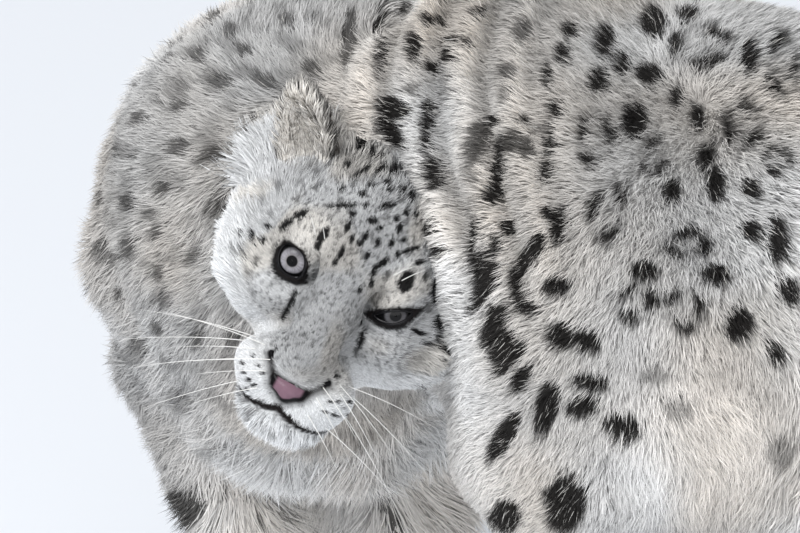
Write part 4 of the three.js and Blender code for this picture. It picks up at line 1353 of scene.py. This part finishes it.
    def colours(self, points: Array, normals: Array, part: Array, shade: Array,
                shown: Array) -> tuple[Array, Array]:
        """The colour of skin and coat, before each hair's own change.

        Args:
            points: root places.
            normals: the skin's normals there.
            part: the number of each one's part.
            shade: brightness from the growth table.
            shown: where the hair of that root shows.

        Returns:
            Linear colours, and how dark the marks are, from 0 to 1.
        """
        seen = VIEW.pixels(shown)
        facing = VIEW.facing(normals)
        rear = is_any(part, "flank", "hips", "hindleg")
        framed = smooth(-10, 6, seen[:, 0]) * smooth(812, 800, seen[:, 0]) * smooth(-12, 4, seen[:, 1])
        framed = framed * smooth(548, 533, seen[:, 1]) * smooth(-0.2, 0.05, facing)
        flank = photo_dark(shown, FLANK_MARKS, grow=1.12)
        front = photo_dark(shown, FRONT_MARKS)
        small = self.rosettes.dark(shown)
        folded = rear | (seen[:, 0] > 336)
        picture = np.where(folded, flank, np.maximum(front, small * 0.75 * smooth(430, 330, seen[:, 1])))
        belly = smooth(-0.35, -0.8, normals[:, 2])
        calm = np.where(is_any(part, "neck", "chest"), 0.85, 1.0)
        dark = np.where(framed > 0.5, picture, small * (1 - belly) * calm)
        warm = grain(points, 60, 8)
        back = smooth(0.3, 0.9, normals[:, 2])
        value = shade + 14 * (grain(points, 28, 9) - 0.5) - 10 * back + 24 * belly
        value = value + 22 * self.soft(seen) * framed * rear
        # Painted shade in the grooves of the upright folds, and painted light on their ridges.
        value = value - self.crease(seen) * rear * 34 * smooth(0, 0.3, facing)
        fold = 452 + 0.15 * (seen[:, 1] - 260)
        band = smooth(30, 8, np.abs(seen[:, 0] - fold)) * smooth(230, 270, seen[:, 1])
        value = value + 12 * band * framed * rear
        # Painted shade: darker towards the lower left of the front and near its left outline.
        low_left_shade = smooth(215, 120, seen[:, 0]) * smooth(300, 440, seen[:, 1]) * framed
        value = value - 50 * low_left_shade - 26 * smooth(150, 90, seen[:, 0]) * framed * (~rear)
        value = value - 34 * smooth(0.52, 0.72, grain(points, 11, 12)) * is_any(part, "neck")
        tan = np.array([1.0, 0.970, 0.935])
        cool = np.array([1.0, 0.998, 0.995])
        hue = mix(cool, tan,
                  np.clip(1.5 * (warm - 0.35) + back * 0.2 - belly, 0, 1))
        light = linear(value[:, None] * hue)
        black = linear([26, 24, 23])
        return mix(light, black, dark * 0.98), dark

    def build_skin(self, finish: bpy.types.Material) -> bpy.types.Object:
        """The skin as a piece of its own."""
        shell = self.skin
        shown = shell.points + shell.normals * self.values[:, 1:2]
        tint, _ = self.colours(shell.points, shell.normals, self.part, self.values[:, 5], shown)
        inside = (self.part == PARTS.index(Part.HEAD)) & (HEAD.local(shell.points)[:, 1] > -45)
        faces = shell.faces[~inside[shell.faces].any(axis=1)]
        # Painted shade: the skin under the coat is darkened.
        made = dress("body_skin", shell.points, faces, self.shift, tint * SKIN_PAINTED_SHADE, finish)
        unwrap(made, "OFBake", unfold(shell.points, shell.normals, self.part, *self.blocks()))
        return made

    def coat(self, name: str, kinds: Sequence[str], count: int, steps: int, seed: int,
             finish: bpy.types.Material, locks: Locks) -> list[bpy.types.Object]:
        """The hair of some parts.

        Args:
            name: the pieces' name.
            kinds: the first words of the parts' names.
            count: how many strands.
            steps: how many lengths each strand has.
            seed: picks the draw.
            finish: the material.
            locks: how the tips draw together.

        Returns:
            The pieces.
        """
        rng = np.random.default_rng(SEED + seed)
        shell = self.skin
        tri = shell.triangles()
        tri = tri[is_any(self.part[tri[:, 0]], *kinds)]
        seen = VIEW.pixels(shell.points[tri].mean(axis=1))
        facing = VIEW.facing(shell.normals[tri[:, 0]])
        inside = smooth(-40, 0, seen[:, 0]) * smooth(840, 800, seen[:, 0]) * smooth(580, 540, seen[:, 1])
        close = inside * smooth(-0.25, 0.05, facing)
        sown = Sowing(shell, tri, (0.18 + 0.82 * close) * self.values[tri[:, 0], 4], count, rng)
        roots, normals = sown.roots, sown.normals
        lies = flattened(sown.at(self.lies), normals)
        spots = sown.at(self.values)
        part = self.part[sown.corners[:, 0]]
        near = close[sown.pick]
        seen = VIEW.pixels(roots)
        soft = self.soft(seen) * near
        fringe = smooth(395, 450, seen[:, 1]) * smooth(185, 235, seen[:, 0]) * smooth(500, 470, seen[:, 0])
        fringe = fringe * is_any(part, "neck", "chest") * near
        length = spots[:, 0] * rng.uniform(0.7, 1.15, count) * (1 + 0.9 * soft + 0.9 * fringe)
        width = spots[:, 3] * rng.uniform(0.6, 1.25, count) * (2.3 - 1.3 * near)
        stand = sown.at(self.stand[:, None])[:, 0]
        flatter = 1 - 0.4 * soft - 0.4 * fringe
        lift = np.radians(spots[:, 2] * rng.uniform(0.7, 1.3, count) * flatter + 24 * stand)
        vary = rng.normal(1.0, 0.1, count).clip(0.7, 1.3)
        stray = rng.normal(0, 1.0, (count, 3))
        white = rng.random(count) < 0.05
        pepper = np.where(rng.random(count) < 0.1, 0.45, 1.0)

        def tint(places: Array) -> Array:
            made, dark = self.colours(places, normals, part, spots[:, 5], places + stray)
            pale = linear([196, 194, 190])
            made = np.where((white & (dark > 0.4))[:, None], pale, made)
            return made * (vary * pepper)[:, None]

        places = unfold(roots, normals, part, *self.blocks())
        strands = Strands(roots - normals * 1.0, normals, lies, length, lift, width, tint, places, steps,
                          locks=locks, sway=0.45 + 1.4 * stand)
        return strands.build(name, rng, self.shift, finish)


@dataclass
class Head:
    """The head with its ears: fine skin, short fur, ruff, eyes, nose, whiskers."""

    shift: Array
    form: HeadForm = field(default_factory=HeadForm)
    step: float = 1.7
    skin: Shell = field(init=False)

    def grow(self) -> None:
        """Finds the skin in the head's own frame."""
        step = self.step * 1.0

        def shape(points: Array) -> Array:
            back = -(points[:, 1] + 74)
            return np.maximum(self.form.skin(points), back)

        self.skin = net_of(shape, (-108, -82, -112), (112, 138, 98), step)
        self.skin.points = self.skin.even(self.skin.points, 1, 0.35)
        self.skin.find_normals()

    def bare(self, points: Array) -> Array:
        """How bare the skin is, from 0 under hair to 1 on lids, lips and beside the nose."""
        rim = np.minimum(self.form.eye_gap(points, -1), self.form.eye_gap(points, 1))
        lids = 1 - smooth(1.6, 2.8, rim)
        lips = 1 - smooth(2.2, 3.6, self.form.mouth_gap(points))
        nose = 1 - smooth(0.2, 1.6, self.form.nose(points))
        return np.maximum(np.maximum(lids, lips), nose)

    def lies(self, points: Array, normals: Array) -> Array:
        """The lie of the hair: away from the nose, down on the chin and out on the ruff and ears."""
        lie = unit(points - np.array([0, 132, -36]))
        l, u = points[:, 0], points[:, 2]
        outside = smooth(35, 80, np.abs(l)) * smooth(40, 0, u)
        lie += outside[:, None] * np.stack([np.sign(l) * 0.5, -0.2 + 0 * l, -0.6 + 0 * l], axis=1)
        chin = smooth(-52, -66, u)
        lie += chin[:, None] * np.array([0, -0.3, -0.8])
        for side in (-1, 1):
            middle, basis = self.form.ear_frame(side)
            near = 1 - smooth(0, 6, self.form.ear(points, side))
            lie = mix(lie, basis[2], near * 0.9)
            centre, _ = self.form.eye_frame(side)
            off = points - centre
            ring = 1 - smooth(18, 30, np.linalg.norm(off[:, [0, 2]], axis=1))
            lie = mix(lie, lie + unit(off) * 0.8, ring)
        return flattened(lie, normals)

    def colours(self, points: Array, normals: Array, shown: Array) -> tuple[Array, Array]:
        """The colour of the head's skin and hair.

        Args:
            points: roots, in the head's own frame.
            normals: the skin's normals there.
            shown: where the hair of each root shows, in the same frame.

        Returns:
            Linear colours, and how dark the marks are, from 0 to 1.
        """
        world, seen_at = HEAD.world(points), HEAD.world(shown)
        facing = VIEW.facing(normals @ HEAD.axes())
        l, f, u = np.abs(points[:, 0]), points[:, 1], points[:, 2]
        bridge = smooth(30, 16, l) * smooth(20, 60, f) * smooth(-36, -24, u)
        value = 212 + 22 * (grain(world, 9, 31) - 0.5) - 24 * bridge
        muzzle = smooth(-16, -40, u) * smooth(20, 70, f)
        value = value + 40 * muzzle
        # Painted light: the head's right cheek is made lighter than the left one.
        lit_right_cheek = smooth(30, 62, -points[:, 0]) * smooth(20, -20, u)
        value = value + 20 * lit_right_cheek
        to_brow = np.stack([l, f, u], axis=1) - np.array([30, 58, 31])
        value = value + 30 * (1 - smooth(9, 19, np.linalg.norm(to_brow, axis=1)))
        value = value + 34 * smooth(-40, -66, u)
        crown = smooth(40, 66, u) * smooth(30, -20, f)
        value = value - 18 * crown
        marks = photo_dark(seen_at, FACE_MARKS, 0.3, 2.2)
        freckle = smooth(0.60, 0.66, grain(world, 11, 33)) * smooth(20, 50, u) * 0.8
        hidden = np.where(facing > -0.1, marks, freckle)
        dark = np.maximum(hidden, freckle * crown * 0.6)
        tan = smooth(0.5, 0.75, grain(world, 26, 38)) * (1 - muzzle)
        warm = mix(np.array([0.99, 0.995, 1.0]), np.array([1.0, 0.985, 0.962]), tan)
        light = linear(np.clip(value, 60, 250)[:, None] * warm)
        rim = np.minimum(self.form.eye_gap(points, -1), self.form.eye_gap(points, 1))
        down = -VIEW.basis()[1] @ HEAD.axes().T
        slant = down - 0.8 * np.where(points[:, :1] < 0, 1.0, 0.0) * (VIEW.basis()[0] @ HEAD.axes().T)
        centres = np.stack([np.sign(points[:, 0]) * 34.0, 50 + 0 * l, 12 + 0 * l], axis=1)
        below = ((points - centres) * slant).sum(axis=1).clip(-16, 16)
        liner = 1 - smooth(1.9, 3.6, rim - 0.11 * below + 1.6 * (grain(world, 3, 35) - 0.5))
        away = self.form.mouth_gap(points)
        lips = 1 - smooth(2.0, 3.4, away + 1.2 * (grain(world, 2, 36) - 0.5))
        speckle = smooth(0.55, 0.64, grain(world, 2.1, 37)) * smooth(20, 12, away) * smooth(-57, -62, u)
        speckle = speckle * smooth(60, 90, f) * 0.8
        lips = np.maximum(lips * smooth(-50, -56, u), speckle)
        wings = (1 - smooth(1.0, 4.0, self.form.nose(points))) * smooth(-26, -32, u)
        dark = np.maximum(dark, np.maximum(np.maximum(liner, lips * 0.8), wings * 0.7))
        for side in (-1, 1):
            middle, basis = self.form.ear_frame(side)
            off = (points - middle) @ basis.T
            near = 1 - smooth(1.5, 5, self.form.ear(points, side))
            behind = smooth(0.15, -0.15, normals @ basis[1])
            around = np.hypot(off[:, 0] / 19.5, off[:, 2] / 38.5)
            rim_dark = smooth(0.93, 1.0, around) * smooth(-4, 0, off[:, 1])
            brown = linear([118, 104, 92])
            inner = linear([246, 242, 236])
            light = mix(light, brown, near * behind * 0.8)
            light = mix(light, inner, near * (1 - behind))
            dark = np.maximum(dark * (1 - near * 0.7), near * rim_dark * 0.9)
        black = linear([17, 16, 17])
        return mix(light, black, dark * 0.98), dark

    def build_skin(self, finish: bpy.types.Material, low: Array, high: Array) -> bpy.types.Object:
        """The skin as a piece of its own."""
        points, normals = self.skin.points, self.skin.normals
        hair = self.form.hair(points)
        lies = self.lies(points, normals)
        shown = points + lies * (0.3 * hair)[:, None] + normals * (0.2 * hair)[:, None]
        tint, _ = self.colours(points, normals, shown)
        bare = self.bare(points)
        # Painted shade: the skin under the hair is darkened; bare skin keeps its own dark colour.
        tint = mix(tint * SKIN_PAINTED_SHADE, linear([24, 21, 21]), bare)
        world = HEAD.world(points)
        made = dress("head_skin", world, self.skin.faces, self.shift, tint, finish)
        part = np.zeros(len(points), dtype=int)
        unwrap(made, "OFBake", unfold(world, normals @ HEAD.axes(), part, low, high))
        return made

    def coat(self, name: str, count: int, steps: int, seed: int, finish: bpy.types.Material,
             low: Array, high: Array, ruff: bool) -> list[bpy.types.Object]:
        """The hair of the head: the short fur of the face, or the longer hair round it.

        Args:
            name: the pieces' name.
            count: how many strands.
            steps: how many lengths each strand has.
            seed: picks the draw.
            finish: the material.
            low: the lowest corner of each part.
            high: the highest corner of each part.
            ruff: True for the longer hair.

        Returns:
            The pieces.
        """
        rng = np.random.default_rng(SEED + seed)
        shell = self.skin
        tri = shell.triangles()
        middle = shell.points[tri].mean(axis=1)
        hair = self.form.hair(middle)
        longer = smooth(13, 19, hair)
        facing = VIEW.facing(shell.normals[tri[:, 0]] @ HEAD.axes())
        crowd = longer if ruff else (1 - longer) * (8 / hair) ** 0.8
        crowd = crowd * (0.35 + 0.65 * smooth(-0.3, 0.1, facing))
        crowd = crowd * (self.bare(middle) < 0.5) * (middle[:, 1] > -66)
        sown = Sowing(shell, tri, crowd, count, rng)
        roots, normals = sown.roots, sown.normals
        lies = self.lies(roots, normals)
        length = self.form.hair(roots) * rng.uniform(0.75, 1.12, count)
        inside = np.zeros(count)
        for side in (-1, 1):
            centre, basis = self.form.ear_frame(side)
            off = (roots - centre) @ basis.T
            near = 1 - smooth(1.5, 4, self.form.ear(roots, side))
            front = smooth(-2, 3, off[:, 1])
            length = np.where(near > 0.5, np.where(front > 0.5, 13, 7) * rng.uniform(0.7, 1.2, count), length)
            inside = np.maximum(inside, near)
        width = (0.42 + 0.034 * length) * rng.uniform(0.7, 1.3, count)
        lift = np.radians((24 + 24 * longer[sown.pick] + 10 * inside) * rng.uniform(0.7, 1.3, count))
        vary = rng.normal(1.0, 0.13, count).clip(0.65, 1.35)
        stray = rng.normal(0, 0.35, (count, 3))
        grey = 0.9 * smooth(-38, -22, roots[:, 2]) * smooth(70, 46, np.abs(roots[:, 0])) + 0.08
        clumps = grain(roots * np.array([1.0, 0.6, 0.6]), 1.5, 34) + rng.normal(0, 0.05, count)
        pepper = 1 - grey * smooth(0.56, 0.66, clumps) * 0.72

        def tint(places: Array) -> Array:
            here = HEAD.local(places)
            made, _ = self.colours(roots, normals, here + stray)
            return made * (vary * pepper)[:, None]

        world, turn = HEAD.world(roots), HEAD.axes()
        world_normals = normals @ turn
        part = np.zeros(count, dtype=int)
        places = unfold(world, world_normals, part, low, high)
        locks, sway = (((12.0, 0.2), (4.5, 0.5)), 0.42) if ruff else (((2.4, 0.25),), 0.3)
        strands = Strands(world - world_normals * 0.4, world_normals, lies @ turn, length, lift, width,
                          tint, places, steps, locks=locks, sway=sway)
        return strands.build(name, rng, self.shift, finish)

    def build_nose(self, finish: bpy.types.Material) -> bpy.types.Object:
        """The nose leather: pink in the middle, black at its wings, with a pebbled grain."""
        shell = net_of(self.form.nose, (-26, 98, -56), (26, 136, -20), 0.8)
        shell.points = shell.even(shell.points, 1, 0.3)
        l, u = np.abs(shell.points[:, 0]), shell.points[:, 2]
        world = HEAD.world(shell.points)
        pink, black = linear([120, 94, 106]), linear([10, 8, 10])
        low = u - 0.55 * shell.points[:, 0].clip(0) + 1.5 * (grain(world, 3, 41) - 0.5)
        middle = (1 - smooth(8, 10.5, l)) * smooth(-46.5, -44.5, low)
        tint = mix(black, pink, middle)
        return dress("nose_leather", world, shell.faces, self.shift, tint, finish)

    def build_rims(self, finish: bpy.types.Material) -> bpy.types.Object:
        """The bare wet edges of the lids, thickest below and at the inner corner."""
        turns, sides = 72, 8
        points, faces = [], []
        for side in (-1, 1):
            centre, basis = self.form.eye_frame(side)
            wide, tall = self.form.gap[side]
            spin = turned(turns)
            across = wide * np.cos(spin)
            high = tall * np.sin(spin) * (1 - 0.25 * np.cos(spin) ** 2)
            ahead = np.sqrt((self.form.ball + 0.4) ** 2 - across**2 - high**2)
            line = centre + np.stack([across, ahead, high], axis=1) @ basis
            out = unit(line - centre)
            run = unit(np.roll(line, -1, 0) - np.roll(line, 1, 0))
            beside = np.cross(run, out)
            below = smooth(-8, 8, -((line - centre) @ (VIEW.basis()[1] @ HEAD.axes().T)))
            radius = 0.7 + 0.9 * below
            turn = turned(sides)
            ring = np.cos(turn)[None, :, None] * out[:, None] + np.sin(turn)[None, :, None] * beside[:, None]
            faces += tube_faces(sum(len(p) for p in points), turns, sides, shut=True)
            points.append((line[:, None] + ring * radius[:, None, None]).reshape(-1, 3))
        return dress("lid_rims", HEAD.world(np.concatenate(points)), np.array(faces), self.shift,
                     linear([16, 15, 17]), finish)

    def build_eye(self, side: int, finish: bpy.types.Material) -> bpy.types.Object:
        """One eyeball: a pale streaked iris with a dark edge, a round pupil and a raised cornea."""
        rings, turns = 90, 128
        centre, basis = self.form.eye_frame(side)
        look = unit(basis[1] + 0.10 * (VIEW.basis()[0] + 0.7 * VIEW.basis()[1]) @ HEAD.axes().T)
        beside = unit(np.cross(look, [0, 0, 1]))
        basis = np.array([beside, look, np.cross(beside, look)])
        angle = np.linspace(0, math.pi, rings + 1)[1:-1]
        spin = turned(turns)
        a, s = np.meshgrid(angle, spin, indexing="ij")
        ball, cornea = self.form.ball, 1.1
        radius = ball + cornea * (1 - smooth(0.35, 0.72, a))
        wide = radius * np.sin(a)
        local = np.stack([wide * np.cos(s), radius * np.cos(a), wide * np.sin(s)], axis=-1)
        points = np.concatenate([local.reshape(-1, 3), [[0, ball + cornea, 0], [0, -ball, 0]]])
        number = np.arange((rings - 1) * turns).reshape(rings - 1, turns)
        first, second = number[:-1], number[1:]
        quads = np.stack([first, np.roll(first, -1, 1), np.roll(second, -1, 1), second], axis=-1)
        quads = quads.reshape(-1, 4)
        top, bottom = len(points) - 2, len(points) - 1
        caps = [[top, number[0, (i + 1) % turns], number[0, i]] for i in range(turns)]
        caps += [[bottom, number[-1, i], number[-1, (i + 1) % turns]] for i in range(turns)]
        tri = np.concatenate([quads[:, [0, 2, 1]], quads[:, [0, 3, 2]], np.array(caps)])
        flat = np.concatenate([a.ravel(), [0.0, math.pi]])
        around = np.concatenate([s.ravel(), [0.0, 0.0]])
        across = np.where(flat > math.pi / 2, 30, np.sin(flat) * ball)
        streak = grain(np.stack([np.cos(around) * 26, np.sin(around) * 26, across * 0.5], axis=1), 1.3, 51)
        iris = mix(linear([100, 98, 100]), linear([146, 144, 150]), streak)
        inner = 1 - smooth(3.4, 5.6, across)
        iris = mix(iris, linear([96, 92, 88]), inner * 0.5)
        # Painted shade: the left eye's iris is darkened to 0.3 of the right one's.
        iris = iris * (1.0 if side < 0 else 0.3)
        black = linear([8, 8, 9])
        limbal = smooth(7.6, 8.8, across) if side < 0 else smooth(5.6, 7.6, across)
        above = (points @ basis) @ ((VIEW.basis()[1] + 0.6 * VIEW.basis()[0]) @ HEAD.axes().T)
        shadow = 1.2 - 1.08 * smooth(-5.0, 5.0, above)
        tint = mix(iris * shadow[:, None], black, limbal)
        tint = mix(tint, black, 1 - smooth(3.3, 3.9, across))
        name = "eyeball_left" if side > 0 else "eyeball_right"
        return dress(name, HEAD.world(points @ basis + centre), tri, self.shift, tint, finish)


@dataclass(frozen=True)
class Claws:
    """Four half-hidden hooked claws on each paw."""

    shift: Array
    reach: float = 64.0
    high: float = 19.0
    fan: float = 19.0
    long: float = 15.0
    thick: float = 3.0
    rings: int = 7
    sides: int = 10

    def build(self, finish: bpy.types.Material) -> bpy.types.Object:
        """All claws as one mesh."""
        points, faces = [], []
        for part in (p for p in PARTS if "paw" in p.value):
            low, high = (np.array(corner) / MM - self.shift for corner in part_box(part.value))
            toes = unit(np.array(TOES[part.kind]) * np.array([1, 1, 0]))
            rear = (high + low) / 2 - toes * ((high - low) @ np.abs(toes)) / 2
            pad = rear + toes * 54
            for slot in (-1.5, -0.5, 0.5, 1.5):
                turn = math.radians(slot * self.fan)
                way = np.array([toes[0] * math.cos(turn) - toes[1] * math.sin(turn),
                                toes[0] * math.sin(turn) + toes[1] * math.cos(turn), 0])
                root = np.array([pad[0], pad[1], self.high]) + way * self.reach
                self.hook(root, way, points, faces)
        horn = linear([92, 84, 76])
        return dress("claws", np.concatenate(points), np.array(faces), self.shift, horn, finish)

    def hook(self, root: Array, way: Array, points: list[Array], faces: list[list[int]]) -> None:
        """Adds one claw, as rings along an arc that bends down to its point."""
        side = np.cross(way, [0, 0, 1])
        turn = turned(self.sides)
        faces += tube_faces(sum(len(p) for p in points), self.rings, self.sides)
        place = root.copy()
        for k in range(self.rings):
            share = k / (self.rings - 1)
            angle = math.radians(10 - 75 * share)
            ahead = way * math.cos(angle) + np.array([0, 0, 1]) * math.sin(angle)
            above = np.cross(side, ahead)
            radius = self.thick * (1 - share) ** 0.8 + 0.15
            ring = np.cos(turn)[:, None] * side * 0.6 + np.sin(turn)[:, None] * above
            points.append(place + ring * radius)
            place = place + ahead * self.long / self.rings


@dataclass
class Whiskers:
    """Long white hairs of the muzzle and brows: each a thin tapered tube."""

    shift: Array
    form: HeadForm
    sides: int = 5
    steps: int = 10

    def roots(self) -> list[tuple[Array, Array, float]]:
        """Root, direction and length of each hair, in the head's own frame."""
        rng = np.random.default_rng(SEED + 70)
        hairs: list[tuple[Array, Array, float]] = []
        for side in (-1, 1):
            for row in range(3):
                for slot in range(3):
                    place = np.array([side * (18 + 6.0 * slot), 112 - 7.0 * slot, -36 - 5.0 * row])
                    way = np.array([side * (1.0 + 0.1 * slot), 0.25 - 0.2 * slot, -0.28 - 0.16 * row])
                    way = unit(way + rng.normal(0, 0.12, 3))
                    hairs.append((place, way, 48 + 10.0 * slot + rng.uniform(-12, 14)))
            for slot in range(2):
                place = np.array([side * (24 + 7.0 * slot), 62.0, 36.0])
                way = unit(np.array([side * 0.5, 0.5, 1.0]) + rng.normal(0, 0.1, 3))
                hairs.append((place, way, 20 + rng.uniform(-5, 6)))
        return hairs

    def build(self, finish: bpy.types.Material) -> bpy.types.Object:
        """All whiskers as one mesh."""
        hairs = self.roots()
        start = settle(self.form.below, np.array([h[0] for h in hairs]))
        share = np.linspace(0, 1, self.steps + 1)
        turn = turned(self.sides)
        points, faces = [], []
        for (_, way, length), root in zip(hairs, start):
            droop = np.array([0, -0.25, -0.35]) * length * 0.5
            line = root + way * (share * length)[:, None] + droop * (share**2)[:, None]
            flat = unit(np.cross(way, [0.3, 0.2, 1.0]))
            high = np.cross(way, flat)
            ring = np.cos(turn)[:, None] * flat + np.sin(turn)[:, None] * high
            radius = 0.26 * (1 - share) ** 0.7 + 0.05
            faces += tube_faces(sum(len(p) for p in points), self.steps + 1, self.sides)
            points.append((line[:, None] + ring[None] * radius[:, None, None]).reshape(-1, 3))
        return dress("whiskers", HEAD.world(np.concatenate(points)), np.array(faces), self.shift,
                     linear([232, 231, 228]), finish)


@dataclass(frozen=True)
class Studio:
    """A pale floor and soft light."""

    reach: float = 6.0

    def build(self) -> None:
        """Adds the floor, the lights and the sky."""
        points = np.array([[-1, -1, 0], [1, -1, 0], [1, 1, 0], [-1, 1, 0]], dtype=float) * self.reach / MM
        floor = mesh_object("studio_floor", points, np.array([[0, 1, 2, 3]]), np.zeros(3))
        made = bpy.data.materials.new("floor_paint")
        made.use_nodes = True
        shader = made.node_tree.nodes["Principled BSDF"]
        shader.inputs["Base Color"].default_value = (0.70, 0.725, 0.765, 1)
        shader.inputs["Roughness"].default_value = 0.8
        floor.data.materials.append(made)
        floor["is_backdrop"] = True
        self.lamp("key", (-1.8, -1.4, 3.6), 1.8, 118)
        self.lamp("fill", (0.2, -3.4, 0.9), 2.6, 44)
        self.lamp("back", (0.6, 2.6, 3.0), 2.2, 40)
        world = bpy.data.worlds.new("studio_air")
        world.use_nodes = True
        back = world.node_tree.nodes["Background"]
        back.inputs["Color"].default_value = (0.95, 0.97, 1.0, 1)
        back.inputs["Strength"].default_value = 0.56
        bpy.context.scene.world = world
        bpy.context.scene.view_settings.view_transform = "Standard"

    def lamp(self, name: str, place: tuple[float, float, float], size: float, power: float) -> None:
        """One soft square lamp that points at the middle of the animal."""
        data = bpy.data.lights.new(name, "AREA")
        data.size = size
        data.energy = power
        made = bpy.data.objects.new(name, data)
        made.location = place
        aim = Vector((0, 0, 0.35)) - Vector(place)
        made.rotation_euler = aim.to_track_quat("-Z", "Y").to_euler()
        bpy.context.scene.collection.objects.link(made)


def settle_piece(pieces: Iterable[bpy.types.Object]) -> None:
    """Lets pieces ride on the body and reports them."""
    for piece in pieces:
        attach(piece, "root")
        LOG.info("%s: %d faces", piece.name, len(piece.data.polygons))


def main() -> None:
    """Builds the leopard, piece by piece."""
    logging.basicConfig(level=logging.INFO, format="%(message)s")
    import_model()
    shift = HEAD.shift()
    LOG.info("shift %s", shift.round(2).tolist())
    VIEW.build(shift)
    Studio().build()
    hair = CoatFinish().material("coat_hair", True)
    under = CoatFinish().material("coat_skin", False)
    body = Body(shift)
    body.grow()
    body.rosettes.spread(body.skin, body.part, body.lies)
    skin = body.build_skin(under)
    low, high = body.blocks()
    head = Head(shift)
    head.grow()
    face = head.build_skin(under, low, high)
    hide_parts(*[p.value for p in BODY_PARTS])
    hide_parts("ear_right", "ear_left")
    settle_piece([skin, face])
    thin = 1.0
    long_locks = ((22.0, 0.16), (5.5, 0.5))
    fine_locks = ((12.0, 0.14), (3.2, 0.4))
    short_locks = ((6.0, 0.4),)
    plan = (
        ("coat_flank", ["flank"], 150_000, 2, 1, fine_locks),
        ("coat_front", ["neck", "chest"], 90_000, 2, 2, fine_locks),
        ("coat_hips", ["hips"], 30_000, 2, 3, long_locks),
        ("coat_tail", ["tail"], 24_000, 3, 4, long_locks),
        ("coat_legs", ["foreleg", "hindleg"], 34_000, 2, 5, short_locks),
        ("coat_paws", ["forepaw", "hindpaw"], 18_000, 2, 6, short_locks),
    )
    for name, kinds, count, steps, seed, locks in plan:
        settle_piece(body.coat(name, kinds, int(count * thin), steps, seed, hair, locks))
    settle_piece(head.coat("coat_face", int(90_000 * thin), 1, 7, hair, low, high, False))
    settle_piece(head.coat("coat_ruff", int(34_000 * thin), 3, 8, hair, low, high, True))
    nose = head.build_nose(WetFinish(0.5, 0.1, 1300, 0.35).material("nose_leather"))
    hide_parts("nose")
    settle_piece([nose])
    wet = WetFinish(0.4, 0.3, 200, 0.0).material("eye_wet")
    for side, node in ((-1, "eye_right"), (1, "eye_left")):
        eye = head.build_eye(side, wet)
        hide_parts(node)
        settle_piece([eye])
    settle_piece([head.build_rims(WetFinish(0.35, 0.3, 900, 0.2).material("lid_skin"))])
    settle_piece([Claws(shift).build(WetFinish(0.35, 0.2, 100, 0.0).material("claw_horn"))])
    stiff = WetFinish(0.45, 0.1, 100, 0.0).material("whisker_hair")
    settle_piece([Whiskers(shift, head.form).build(stiff)])
    total = sum(len(o.data.polygons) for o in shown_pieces())
    LOG.info("faces in all: %d", total)


if __name__ == "__main__":
    main()
